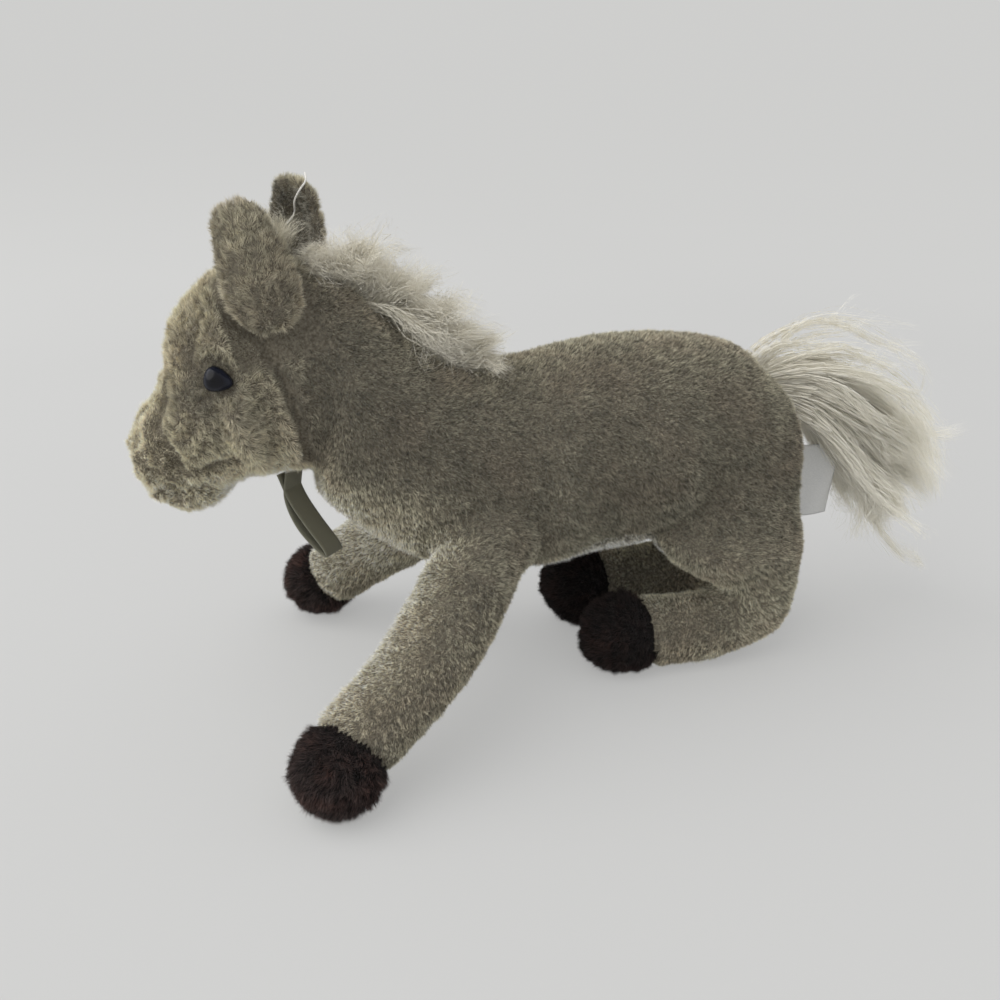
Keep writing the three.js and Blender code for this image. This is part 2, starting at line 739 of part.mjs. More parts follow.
// Rings along the mane: place along and height of the centre, and half its height, as shares of the
// trunk's length, the back's height and the mane's height, then breadth as a share of the mane's width
const maneRingShares = [
  [-0.318, 1.24, 0.3, 0.8],
  [-0.252, 1.218, 0.4, 0.95],
  [-0.187, 1.169, 0.5, 1],
  [-0.121, 1.085, 0.5, 1],
  [-0.056, 1.014, 0.37, 0.9],
  [0, 0.968, 0.2, 0.7],
];
const maneLean = 2.5;
const maneTilt = 19;
const maneDomeShare = 0.15;
const maneSteps = 8;
const maneRings = maneRingShares.map(([along, up, high, broad]) => ring(
  vector(along * trunkLength, -maneLean, up * backHeight),
  vector(Math.sin(radians(maneTilt)), 0, Math.cos(radians(maneTilt))).multiplyScalar(high * maneHeight),
  ACROSS.clone().multiplyScalar((broad * maneWidth) / 2),
));
const maneDome = maneDomeShare * maneHeight;
addMesh('mane', swollen(maneRings, [maneDome, maneDome], limbSides, maneSteps).subtract(trunkCut), hair);

// Rings along the forelock: how far back, down and up each stands as shares of the forelock's length,
// then its breadth and depth as shares of its width
const forelockRootShares = [0.18, 0.5];
const forelockRoot = headPoint(...forelockRootShares);
const forelockRingShares = [
  [0, 0, 0.9, 0.7],
  [0.15, 0.4, 1, 0.8],
  [0.3, 0.8, 0.7, 0.55],
];
const forelockDomeShares = [0.2, 0.25];
const forelockSteps = 4;
const forelockRings = forelockRingShares.map(([back, up, broad, deep]) => ring(
  forelockRoot.clone().add(vector(back * forelockLength, 0, up * forelockLength)),
  ALONG.clone().multiplyScalar((deep * forelockWidth) / 2),
  ACROSS.clone().multiplyScalar((broad * forelockWidth) / 2),
));
const forelock = swollen(forelockRings, shares(forelockDomeShares, forelockLength), limbSides, forelockSteps);
addHeadMesh('forelock', forelock.subtract(headForm(sewnGap)), hair);

// Rings along the tail: place along and up and half the depth as shares of the tail's length and depth,
// lean of the ring in degrees, breadth as a share of the tail's width
const tailRootShares = [0.617, 0.782];
const tailRingShares = [
  [0, 0, 0.36, -14, 0.6],
  [0.24, 0.04, 0.35, 2, 0.9],
  [0.48, -0.1, 0.42, 22, 1],
  [0.67, -0.66, 0.56, 30, 0.9],
  [0.85, -1, 0.37, 38, 0.55],
];
const tailRoot = vector(tailRootShares[0] * trunkLength, 0, tailRootShares[1] * backHeight);
const tailRings = tailRingShares.map(([along, up, deep, lean, broad]) => ring(
  tailRoot.clone().add(vector(along * tailLength, 0, up * tailDepth)),
  vector(Math.sin(radians(lean)), 0, Math.cos(radians(lean))).multiplyScalar(deep * tailDepth),
  ACROSS.clone().multiplyScalar((broad * tailWidth) / 2),
));
const tailDomeShares = [0.05, 0.08];
const tailSteps = 9;
const tailForm = swollen(tailRings, shares(tailDomeShares, tailLength), limbSides, tailSteps);
addMesh('tail', tailForm.subtract(swept(rearCut, tailRoot, UP, tailSwing)), hair);

// Care label: a bare strip that hangs from the rump's upright seam, under the tail
const labelTopShare = 0.597;
const labelCurlShare = 0.16;
const labelRows = 6;
const labelColumns = 5;
const labelEdge = touch(trunkOutside, vector(cutOverrun, 0, labelTopShare * backHeight), ALONG.clone().negate()).point;
labelEdge.x += sewnGap;
function labelPoint(u, v) {
  const curl = labelCurlShare * labelWidth * v * v * (1 - u * v);
  return labelEdge.clone().add(vector(v * labelWidth, -curl, -u * labelLength));
}
const label = sheet(labelPoint, -labelThickness / 2, labelThickness / 2, labelRows, labelColumns);
addMesh('care_label', label.subtract(swept(rearCut, labelEdge, UP, labelFlap)), satin);

// Ribbon: a narrow loop whose two ends are sewn under the jaw

// Route of the ribbon's middle line, back of the sewn end and below it, as shares of how far it hangs
const ribbonRouteShares = [
  [0, 0], [-0.03, 0.3], [0.09, 0.66], [0.33, 0.97], [0.38, 1], [0.36, 0.93], [0.16, 0.6], [0.02, 0.34], [-0.09, 0.02],
];
const ribbonRootForwardShare = 0.09;
// Degrees that the ribbon is twisted about the upright line, its far edge towards the chest
const ribbonTwist = 30;
const jaw = touch(headOutside, headPoint(ribbonRootForwardShare, 0).setZ(-cutOverrun), UP).point;
const ribbonRoute = new THREE.CatmullRomCurve3(ribbonRouteShares.map(([back, down]) => (
  vector(jaw.x + back * ribbonDrop, 0, jaw.z - sewnGap - ribbonThickness - down * ribbonDrop)
)));
const ribbonAcross = vector(0, ribbonWidth, 0).applyAxisAngle(UP, -radians(ribbonTwist));
function ribbonPoint(u, v) {
  return ribbonRoute.getPoint(u).addScaledVector(ribbonAcross, v - 0.5);
}
const ribbonRows = 24;
const ribbonColumns = 2;
const ribbon = sheet(ribbonPoint, -ribbonThickness / 2, ribbonThickness / 2, ribbonRows, ribbonColumns);
addHeadMesh('ribbon', ribbon.subtract(swept(headForm(sewnGap), jaw, ACROSS, ribbonSwing)), ribbonCloth);

// Loose sewing thread that has caught on the right ear and hangs over its edge
const threadRoute = [
  [-78.7, 34.8, 178.6],
  [-75.2, 30.7, 183.8],
  [-72.2, 26, 188.8],
  [-72.5, 19.9, 193.8],
  [-70.9, 15.6, 197.9],
  [-68.7, 15.8, 201.3],
  [-66.8, 19.3, 204.7],
  [-65.4, 22.6, 206.2],
].map((place) => vector(...place));
const threadSides = 8;
const threadSteps = 24;
const threadSection = new THREE.Shape();
for (let k = 0; k < threadSides; k += 1) {
  const angle = (2 * Math.PI * k) / threadSides;
  const corner = [(threadDiameter / 2) * Math.cos(angle), (threadDiameter / 2) * Math.sin(angle)];
  if (k) {
    threadSection.lineTo(...corner);
  } else {
    threadSection.moveTo(...corner);
  }
}
threadSection.closePath();
const thread = new THREE.ExtrudeGeometry(threadSection, {
  steps: threadSteps, bevelEnabled: false, extrudePath: new THREE.CatmullRomCurve3(threadRoute),
});
addMesh('loose_thread', solidOf(thread), cotton);

// The whole toy stands over the middle of its own outline
const box = new THREE.Box3().setFromObject(group);
const middle = box.getCenter(vector());
group.position.set(-middle.x, -middle.y, 0);

export default group;
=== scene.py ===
"""Plush foal: cloth, pile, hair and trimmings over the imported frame.

Lengths are in metres. The tables of the toy's forms are shares of its sizes, in the toy's own place:
forward of the neck joint is -X, the animal's left side is -Y, and the floor is z = 0.
"""

import json
import math

import bpy
import numpy as np
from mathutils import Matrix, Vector
from mathutils.bvhtree import BVHTree

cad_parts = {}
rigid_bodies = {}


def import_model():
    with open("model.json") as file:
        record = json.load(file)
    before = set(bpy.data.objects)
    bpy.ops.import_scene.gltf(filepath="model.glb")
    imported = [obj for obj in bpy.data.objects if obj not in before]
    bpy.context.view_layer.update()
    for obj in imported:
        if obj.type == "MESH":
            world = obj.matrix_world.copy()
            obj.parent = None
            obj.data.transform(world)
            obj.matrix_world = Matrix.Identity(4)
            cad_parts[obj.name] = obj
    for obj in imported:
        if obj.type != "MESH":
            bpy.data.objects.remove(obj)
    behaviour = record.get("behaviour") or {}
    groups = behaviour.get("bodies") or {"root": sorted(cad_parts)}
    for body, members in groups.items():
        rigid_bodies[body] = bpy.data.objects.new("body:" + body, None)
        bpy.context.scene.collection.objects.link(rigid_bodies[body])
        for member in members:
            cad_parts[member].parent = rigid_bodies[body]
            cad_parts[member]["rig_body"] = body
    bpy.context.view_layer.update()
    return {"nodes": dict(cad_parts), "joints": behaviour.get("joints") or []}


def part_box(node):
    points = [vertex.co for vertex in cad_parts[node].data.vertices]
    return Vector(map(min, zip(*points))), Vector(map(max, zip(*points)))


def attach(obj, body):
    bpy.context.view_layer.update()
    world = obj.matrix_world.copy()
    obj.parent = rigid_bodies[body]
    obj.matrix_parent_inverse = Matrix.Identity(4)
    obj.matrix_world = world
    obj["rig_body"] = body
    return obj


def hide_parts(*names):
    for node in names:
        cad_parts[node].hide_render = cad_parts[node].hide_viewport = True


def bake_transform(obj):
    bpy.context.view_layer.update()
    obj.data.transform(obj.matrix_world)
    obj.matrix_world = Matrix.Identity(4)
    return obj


bl_info = {
    "name": "Plush Foal",
    "version": (1, 0, 0),
    "blender": (4, 5, 0),
    "location": "3D View > Sidebar > Foal",
    "description": "Builds a kneeling plush foal with pile, mane, tail, ribbon and care label",
    "category": "Object",
}

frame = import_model()

JOINT_AT = {joint["name"]: np.array(joint["pos_m"]) for joint in frame["joints"]}
NECK = JOINT_AT["head_nod"]
MIDLINE = NECK[1]


# The toy's sizes and finishes


class FoalSizes(bpy.types.PropertyGroup):
    """Sizes of the stuffed forms."""

    trunk_length: bpy.props.FloatProperty(
        name="Trunk length", description="Neck joint to rump", default=0.214, unit="LENGTH"
    )
    back_height: bpy.props.FloatProperty(
        name="Back height", description="Floor to the level of the back", default=0.142, unit="LENGTH"
    )
    trunk_width: bpy.props.FloatProperty(
        name="Trunk width", description="Width of the belly", default=0.075, unit="LENGTH"
    )
    thigh_width: bpy.props.FloatProperty(
        name="Thigh width", description="Width of one haunch", default=0.038, unit="LENGTH"
    )
    head_length: bpy.props.FloatProperty(
        name="Head length", description="Neck joint to nose", default=0.068, unit="LENGTH"
    )
    head_depth: bpy.props.FloatProperty(
        name="Head depth", description="Poll to jaw", default=0.086, unit="LENGTH"
    )
    head_width: bpy.props.FloatProperty(
        name="Head width", description="Cheek to cheek", default=0.061, unit="LENGTH"
    )
    head_turn: bpy.props.FloatProperty(
        name="Head turn", description="How far the head looks to its right", default=math.radians(16), subtype="ANGLE"
    )
    foreleg_thickness: bpy.props.FloatProperty(
        name="Foreleg thickness", description="Width of a foreleg", default=0.035, unit="LENGTH"
    )
    shank_thickness: bpy.props.FloatProperty(
        name="Shank thickness", description="Width of a hind shank", default=0.032, unit="LENGTH"
    )
    hock_lift: bpy.props.FloatProperty(
        name="Hock lift", description="How far the hocks clear the floor", default=0.005, unit="LENGTH"
    )
    hoof_thickness: bpy.props.FloatProperty(
        name="Hoof thickness", description="Width of a hoof", default=0.034, unit="LENGTH"
    )
    hoof_length: bpy.props.FloatProperty(
        name="Hoof length", description="Seam to the front of the hoof", default=0.027, unit="LENGTH"
    )
    sole_depth: bpy.props.FloatProperty(
        name="Sole depth", description="How much a limb flattens on the floor", default=0.0005, unit="LENGTH"
    )
    ear_length: bpy.props.FloatProperty(
        name="Ear length", description="Root to tip of an ear", default=0.040, unit="LENGTH"
    )
    ear_width: bpy.props.FloatProperty(
        name="Ear width", description="Widest part of an ear", default=0.026, unit="LENGTH"
    )
    ear_thickness: bpy.props.FloatProperty(
        name="Ear thickness", description="Both cloths of an ear together", default=0.0044, unit="LENGTH"
    )
    ear_cup: bpy.props.FloatProperty(
        name="Ear cup", description="How deep an ear is cupped", default=0.009, unit="LENGTH"
    )
    cloth_inset: bpy.props.FloatProperty(
        name="Cloth inset", description="How far the cloth lies under the tips of the pile", default=0.0016,
        unit="LENGTH",
    )
    fineness: bpy.props.FloatProperty(
        name="Fineness", description="Side of a face of the cloth", default=0.0017, unit="LENGTH"
    )


class FoalPile(bpy.types.PropertyGroup):
    """The short pile of the plush."""

    body_length: bpy.props.FloatProperty(
        name="Body pile", description="Length of the pile on trunk and legs", default=0.0024, unit="LENGTH"
    )
    head_length: bpy.props.FloatProperty(
        name="Head pile", description="Length of the pile on head and ears", default=0.0031, unit="LENGTH"
    )
    hoof_length: bpy.props.FloatProperty(
        name="Hoof pile", description="Length of the pile on the hooves", default=0.0038, unit="LENGTH"
    )
    width: bpy.props.FloatProperty(
        name="Fibre width", description="Width of one fibre at its root", default=0.00021, unit="LENGTH"
    )
    per_square_mm: bpy.props.FloatProperty(
        name="Fibres per square millimetre", description="How dense the pile is", default=10.5
    )
    lean: bpy.props.FloatProperty(
        name="Lean", description="How far the pile lies over", default=math.radians(38), subtype="ANGLE"
    )
    olive: bpy.props.FloatVectorProperty(
        name="Olive grey", description="Tips of the body pile", subtype="COLOR", size=3, default=(0.81, 0.76, 0.575)
    )
    # The roots are painted darker, as the shade deep in the pile.
    brown: bpy.props.FloatVectorProperty(
        name="Brown grey", description="Roots of the body pile", subtype="COLOR", size=3, default=(0.175, 0.155, 0.112)
    )
    hoof_tip: bpy.props.FloatVectorProperty(
        name="Hoof brown", description="Tips of the hoof pile", subtype="COLOR", size=3, default=(0.080, 0.058, 0.052)
    )
    # The hoof roots are painted darker, as the shade deep in the pile.
    hoof_root: bpy.props.FloatVectorProperty(
        name="Hoof black", description="Roots of the hoof pile", subtype="COLOR", size=3, default=(0.012, 0.010, 0.011)
    )


class FoalHair(bpy.types.PropertyGroup):
    """Mane, forelock and tail."""

    cream: bpy.props.FloatVectorProperty(
        name="Cream", description="Lit hair", subtype="COLOR", size=3, default=(0.84, 0.80, 0.69)
    )
    shade: bpy.props.FloatVectorProperty(
        name="Shade", description="Hair near its root", subtype="COLOR", size=3, default=(0.62, 0.585, 0.485)
    )
    strand_width: bpy.props.FloatProperty(
        name="Strand width", description="Width of one strand", default=0.00032, unit="LENGTH"
    )
    mane_strands: bpy.props.IntProperty(name="Mane strands", description="Strands in the mane", default=7800)
    tail_strands: bpy.props.IntProperty(name="Tail strands", description="Strands in the tail", default=7000)
    forelock_strands: bpy.props.IntProperty(
        name="Forelock strands", description="Strands in the forelock", default=1600
    )


class FoalTrim(bpy.types.PropertyGroup):
    """Eyes, ribbon, label and thread."""

    eye_length: bpy.props.FloatProperty(name="Eye length", description="Long axis", default=0.0101, unit="LENGTH")
    eye_height: bpy.props.FloatProperty(name="Eye height", description="Short axis", default=0.0085, unit="LENGTH")
    eye_dome: bpy.props.FloatProperty(
        name="Eye dome", description="How far it stands out", default=0.0034, unit="LENGTH"
    )
    ribbon_width: bpy.props.FloatProperty(name="Ribbon width", description="Stock width", default=0.010, unit="LENGTH")
    ribbon_drop: bpy.props.FloatProperty(
        name="Ribbon drop", description="How far it hangs", default=0.035, unit="LENGTH"
    )
    ribbon_thickness: bpy.props.FloatProperty(
        name="Ribbon thickness", description="Thickness of the tape", default=0.0006, unit="LENGTH"
    )
    label_length: bpy.props.FloatProperty(
        name="Label length", description="Top to bottom", default=0.034, unit="LENGTH"
    )
    label_width: bpy.props.FloatProperty(
        name="Label width", description="Seam to free edge", default=0.024, unit="LENGTH"
    )
    thread_diameter: bpy.props.FloatProperty(
        name="Thread diameter", description="Sewing thread", default=0.0007, unit="LENGTH"
    )


class FoalStudio(bpy.types.PropertyGroup):
    """Camera, lamps and floor."""

    camera_at: bpy.props.FloatVectorProperty(
        name="Camera", description="Where the camera stands", subtype="XYZ", size=3, default=(-0.1488, -0.37585, 0.2361)
    )
    looks_at: bpy.props.FloatVectorProperty(
        name="Target", description="What the camera looks at", subtype="XYZ", size=3, default=(-0.03222, 0.00545, 0.075)
    )
    lens: bpy.props.FloatProperty(name="Lens", description="Focal length in millimetres", default=37.8)
    sky: bpy.props.FloatProperty(name="Sky", description="Level of the soft light all round", default=0.68)
    sun: bpy.props.FloatProperty(name="Window light", description="Level of the soft light from above", default=2.0)
    paleness: bpy.props.FloatProperty(name="Paleness", description="Level of the room behind the toy", default=0.62)
    floor_colour: bpy.props.FloatVectorProperty(
        name="Floor", description="Pale table top", subtype="COLOR", size=3, default=(0.51, 0.51, 0.505)
    )


# Small helpers


def settings(context, name):
    """One of the groups of sizes and finishes."""
    return getattr(context.scene, name)


def unit(vectors):
    """The same directions, at length 1."""
    vectors = np.asarray(vectors, float)
    return vectors / np.maximum(np.linalg.norm(vectors, axis=-1, keepdims=True), 1e-12)


def smooth_step(value, start, end):
    """Eases from 0 at start to 1 at end, which may be the lower one."""
    t = np.clip((value - start) / (end - start), 0, 1)
    return t * t * (3 - 2 * t)


def spline_through(points, shares):
    """Points on the centripetal curve through points, at shares of the way from 0 to 1."""
    points = np.asarray(points, float)
    last = len(points) - 1
    padded = np.vstack([2 * points[0] - points[1], points, 2 * points[-1] - points[-2]])
    place = np.clip(np.asarray(shares, float), 0, 1) * last
    segment = np.minimum(place.astype(int), last - 1)
    weight = (place - segment)[:, None]
    p0, p1, p2, p3 = (padded[segment + k] for k in range(4))
    none = 1e-6
    gaps = [np.sqrt(np.linalg.norm(b - a, axis=1, keepdims=True)) for a, b in ((p0, p1), (p1, p2), (p2, p3))]
    middle = np.where(gaps[1] < none, 1.0, gaps[1])
    before = np.where(gaps[0] < none, middle, gaps[0])
    after = np.where(gaps[2] < none, middle, gaps[2])
    t1 = ((p1 - p0) / before - (p2 - p0) / (before + middle) + (p2 - p1) / middle) * middle
    t2 = ((p2 - p1) / middle - (p3 - p1) / (middle + after) + (p3 - p2) / after) * middle
    return p1 + t1 * weight + (3 * (p2 - p1) - 2 * t1 - t2) * weight**2 + (2 * (p1 - p2) + t1 + t2) * weight**3


def new_mesh(name, vertices, faces, materials=(), shade_smooth=True):
    """An object from vertex and face arrays. Faces all have the same number of corners."""
    vertices = np.asarray(vertices, np.float32)
    faces = np.asarray(faces, np.int32)
    mesh = bpy.data.meshes.new(name)
    mesh.vertices.add(len(vertices))
    mesh.vertices.foreach_set("co", vertices.ravel())
    mesh.loops.add(faces.size)
    mesh.loops.foreach_set("vertex_index", faces.ravel())
    mesh.polygons.add(len(faces))
    corners = faces.shape[1]
    mesh.polygons.foreach_set("loop_start", np.arange(len(faces), dtype=np.int32) * corners)
    mesh.update(calc_edges=True)
    mesh.polygons.foreach_set("use_smooth", np.full(len(faces), shade_smooth))
    for material in materials:
        mesh.materials.append(material)
    thing = bpy.data.objects.new(name, mesh)
    bpy.context.scene.collection.objects.link(thing)
    return thing


def coordinates(thing):
    """The place of each vertex."""
    out = np.empty(len(thing.data.vertices) * 3, np.float32)
    thing.data.vertices.foreach_get("co", out)
    return out.reshape(-1, 3).astype(float)


def set_coordinates(thing, points):
    """Moves each vertex to its place in points."""
    thing.data.vertices.foreach_set("co", np.asarray(points, np.float32).ravel())
    thing.data.update()


def normals_of(thing):
    """The direction outwards at each vertex."""
    out = np.empty(len(thing.data.vertices) * 3, np.float32)
    thing.data.vertex_normals.foreach_get("vector", out)
    return out.reshape(-1, 3).astype(float)


def store(thing, name, values):
    """A value for each vertex: one number, or three."""
    values = np.asarray(values, np.float32)
    kind = "FLOAT_VECTOR" if values.ndim == 2 else "FLOAT"
    attribute = thing.data.attributes.new(name, kind, "POINT")
    attribute.data.foreach_set("vector" if values.ndim == 2 else "value", values.ravel())


def stored(thing, name):
    """The values that store gave the vertices."""
    attribute = thing.data.attributes[name]
    wide = attribute.data_type == "FLOAT_VECTOR"
    out = np.empty(len(attribute.data) * (3 if wide else 1), np.float32)
    attribute.data.foreach_get("vector" if wide else "value", out)
    return out.reshape(-1, 3).astype(float) if wide else out.astype(float)


def apply_modifiers(thing):
    """Makes the shape that the modifiers give the object's own."""
    graph = bpy.context.evaluated_depsgraph_get()
    made = bpy.data.meshes.new_from_object(thing.evaluated_get(graph))
    thing.modifiers.clear()
    thing.data = made


def remesh(thing, voxel):
    """One closed skin of even faces round all that the mesh holds."""
    modifier = thing.modifiers.new("even_faces", "REMESH")
    modifier.mode = "VOXEL"
    modifier.voxel_size = voxel
    modifier.adaptivity = 0
    apply_modifiers(thing)


def edge_ends(thing):
    """The two vertices of each edge, as two rows."""
    edges = np.empty(len(thing.data.edges) * 2, np.int32)
    thing.data.edges.foreach_get("vertices", edges)
    return edges.reshape(-1, 2).T


def grid_faces(rows, columns):
    """Faces with four corners over a grid of rows times columns vertices."""
    index = np.arange(rows * columns).reshape(rows, columns)
    return np.stack([index[:-1, :-1], index[:-1, 1:], index[1:, 1:], index[1:, :-1]], -1).reshape(-1, 4)


def tape(name, grid, thickness, material):
    """A thin band over a grid of places."""
    band = new_mesh(name, grid.reshape(-1, 3), grid_faces(*grid.shape[:2]), [material])
    solid = band.modifiers.new("tape", "SOLIDIFY")
    solid.thickness = thickness
    solid.offset = 0
    apply_modifiers(band)
    return band


def relax(thing, rounds, keep=None):
    """Evens out a mesh: each vertex moves half way to the middle of its neighbours, or as far as keep lets it."""
    points = coordinates(thing)
    a, b = edge_ends(thing)
    count = np.maximum(np.bincount(np.concatenate([a, b]), minlength=len(points)), 1)[:, None]
    for _ in range(rounds):
        total = np.stack(
            [
                np.bincount(a, points[b, k], len(points)) + np.bincount(b, points[a, k], len(points))
                for k in range(3)
            ],
            1,
        )
        step = (total / count - points) * 0.5
        if keep is not None:
            step *= keep[:, None]
        points = points + step
    set_coordinates(thing, points)


def cosine_noise(points, scale, seed):
    """Smooth noise between about -1 and 1, the same on every run. scale is the size of its patches."""
    waves = 24
    rng = np.random.default_rng(seed)
    directions = unit(rng.normal(size=(waves, 3))) * rng.uniform(0.7, 1.5, (waves, 1)) * (2 * math.pi / scale)
    phases = rng.uniform(0, 2 * math.pi, waves)
    return np.cos(points @ directions.T + phases).sum(1) / math.sqrt(waves) * 1.1


# Materials


def blank_material(name):
    """A new material and its one shader."""
    material = bpy.data.materials.new(name)
    material.use_nodes = True
    nodes = material.node_tree.nodes
    nodes.clear()
    output = nodes.new("ShaderNodeOutputMaterial")
    shader = nodes.new("ShaderNodeBsdfPrincipled")
    material.node_tree.links.new(shader.outputs["BSDF"], output.inputs["Surface"])
    return material, shader


def node(material, kind, links=(), **values):
    """A shader node. links are (input, other node, output), and values are its settings or inputs."""
    made = material.node_tree.nodes.new(kind)
    for name, value in values.items():
        if hasattr(made, name):
            setattr(made, name, value)
        else:
            made.inputs[name.replace("_", " ")].default_value = value
    for socket, other, output in links:
        material.node_tree.links.new(other.outputs[output], made.inputs[socket])
    return made


def link(material, source, output, target, socket):
    """Joins an output of one node to a socket of another."""
    material.node_tree.links.new(source.outputs[output], target.inputs[socket])


def colour_ramp(material, source, output, stops):
    """Colours for the values of an output. stops are (value, colour)."""
    ramp = node(material, "ShaderNodeValToRGB")
    link(material, source, output, ramp, "Fac")
    elements = ramp.color_ramp.elements
    while len(elements) < len(stops):
        elements.new(0.5)
    for element, (place, colour) in zip(elements, stops):
        element.position = place
        element.color = (*colour, 1)
    return ramp


def mixed(material, factor, a, b, blend="MIX"):
    """Colour a mixed with b. Each of the three is a number, a colour or (node, output)."""
    mix = node(material, "ShaderNodeMix", data_type="RGBA", blend_type=blend)
    for index, value in ((0, factor), (6, a), (7, b)):
        if isinstance(value, tuple) and isinstance(value[0], bpy.types.Node):
            material.node_tree.links.new(value[0].outputs[value[1]], mix.inputs[index])
        else:
            mix.inputs[index].default_value = value if index == 0 else (*value, 1)
    return mix, 2


def set_inputs(shader, **values):
    """Plain values for a shader's inputs."""
    for name, value in values.items():
        shader.inputs[name.replace("_", " ")].default_value = value


def place_noise(material, scale, detail=3.0, roughness=0.55):
    """Noise that stays in place on the object."""
    where = node(material, "ShaderNodeTexCoord")
    return node(
        material, "ShaderNodeTexNoise", [("Vector", where, "Object")], Scale=scale, Detail=detail, Roughness=roughness
    )


WARM_SHARE = 0.42


def fibre_material(name, root, tip, warm, sheen, patch=38.0, specks=(0.25, 0.92, 1.42)):
    """Fibres from the root's colour to the tip's, mottled with warm in soft patches. specks are the levels of
    the darkest, middle and lightest fibres, and patch is how fine the patches are."""
    material, shader = blank_material(name)
    along = node(material, "ShaderNodeAttribute", attribute_name="along")
    tone = node(material, "ShaderNodeAttribute", attribute_name="tone")
    middle = tuple(0.55 * a + 0.45 * b for a, b in zip(root, tip))
    # Painted shade: the fibres darken towards the root, for the shade deep in the pile.
    shades = colour_ramp(material, along, "Fac", [(0.12, root), (0.5, middle), (0.95, tip)])
    body = (shades, "Color")
    patches = colour_ramp(material, place_noise(material, patch), "Fac", [(0.45, (0, 0, 0)), (0.72, (1, 1, 1))])
    share = node(material, "ShaderNodeMath", [(0, patches, "Color")], operation="MULTIPLY")
    share.inputs[1].default_value = WARM_SHARE
    mottled = mixed(material, (share, "Value"), body, warm)
    greys = [(place, (grey,) * 3) for place, grey in zip((0.08, 0.45, 0.85), specks)]
    speckle = colour_ramp(material, tone, "Fac", greys)
    speckled = mixed(material, 1.0, mottled, (speckle, "Color"), "MULTIPLY")
    # level carries painted light and shade: lit and shaded sides, rims, creases, partings and the inside of the ears.
    level = node(material, "ShaderNodeAttribute", attribute_name="level")
    final = mixed(material, 1.0, speckled, (level, "Color"), "MULTIPLY")
    final[0].clamp_result = True
    link(material, final[0], final[1], shader, "Base Color")
    set_inputs(shader, Roughness=0.85, Specular_IOR_Level=0.15, Sheen_Weight=sheen, Sheen_Roughness=0.5)
    return material


def grained_material(name, scale, detail, dark, light, bump=None, texture_roughness=0.55, **inputs):
    """A material between two colours, in fine grains. dark and light are (place in the noise, colour),
    bump is (strength, depth), and inputs are values of the shader."""
    material, shader = blank_material(name)
    grain = place_noise(material, scale, detail, texture_roughness)
    link(material, colour_ramp(material, grain, "Fac", [dark, light]), "Color", shader, "Base Color")
    if bump:
        relief = node(material, "ShaderNodeBump", [("Height", grain, "Fac")], Strength=bump[0], Distance=bump[1])
        link(material, relief, "Normal", shader, "Normal")
    set_inputs(shader, **inputs)
    return material


def backing_material(name, dark, light):
    """Knitted backing cloth that shows between the fibres, painted dark as the shade under the pile."""
    return grained_material(
        name, 900.0, 2.0, (0.35, dark), (0.7, light), (0.4, 0.0004), Roughness=0.95, Specular_IOR_Level=0.1
    )


# Forms, in metres in the toy's own place


# Trunk and head: along and up for the upper line, the same for the under line, then the width. Thighs: along,
# half their length, height, thickness and how far out. Legs: along, thickness and bow. All of them are shares.
TRUNK_SHARES = (
    (-0.33, 1.19, -0.344, 0.73, 0.66),
    (-0.271, 1.2, -0.341, 0.602, 0.83),
    (-0.187, 1.077, -0.257, 0.482, 0.92),
    (-0.098, 0.968, -0.14, 0.373, 0.985),
    (0.037, 0.954, 0.04, 0.327, 1),
    (0.173, 0.989, 0.187, 0.363, 1),
    (0.35, 0.986, 0.36, 0.394, 1),
    (0.472, 0.947, 0.486, 0.408, 0.97),
    (0.541, 0.852, 0.558, 0.437, 0.84),
)
THIGH_SHARES = (
    (0.442, 0.150, 0.67, 0.95, 0.7),
    (0.440, 0.162, 0.437, 1, 0.855),
    (0.463, 0.14, 0.325, 1, 0.96),
    (0.5, 0.094, 0.25, 0.92, 1.02),
    (0.517, 0.08, 0.195, 0.86, 1),
)
HEAD_SHARES = (
    (0.945, -0.25, 0.93, -0.44, 0.46),
    (0.916, -0.192, 0.89, -0.506, 0.62),
    (0.831, -0.099, 0.78, -0.535, 0.69),
    (0.75, 0, 0.64, -0.535, 0.79),
    (0.706, 0.128, 0.515, -0.523, 0.88),
    (0.64, 0.279, 0.39, -0.494, 0.96),
    (0.493, 0.39, 0.265, -0.465, 1),
    (0.25, 0.5, 0.118, -0.448, 1),
    (-0.06, 0.465, -0.06, -0.442, 0.93),
)
FORELEG_SHARES = ((0, 0.96, 0), (0.25, 1.04, 0.04), (0.5, 1.03, 0.06), (0.68, 0.96, 0.045))
SHANK_SHARES = ((0, 0.88, 0), (0.3, 1, 0), (0.55, 0.97, 0))
SHANK_LIFT_SHARES = (1, 0.05, 0)
FULLNESS = {"hindleg_right": 1.09}
NECK_SHARE = -0.355
SIDES = {"left": -1, "right": 1}
# The middle of each hoof, beyond and beside its leg's joint
SOLES = {
    "foreleg_left": (-0.072, -0.058),
    "foreleg_right": (-0.057, 0.047),
    "hindleg_left": (-0.061, 0.004),
    "hindleg_right": (-0.061, 0.003),
}
LIMB_JOINT = {
    "foreleg_left": JOINT_AT["foreleg_left_swing"],
    "foreleg_right": JOINT_AT["foreleg_right_swing"],
    "hindleg_left": JOINT_AT["hindleg_left_fold"],
    "hindleg_right": JOINT_AT["hindleg_right_fold"],
}


def along_trunk(size, share):
    """X of a place along the trunk, as a share of its length."""
    return NECK[0] + (share - NECK_SHARE) * size.trunk_length


def facing(size):
    """Which way the head looks, and its right side."""
    turn = size.head_turn
    look = np.array([-math.cos(turn), math.sin(turn), 0.0])
    return look, np.array([math.sin(turn), math.cos(turn), 0.0])


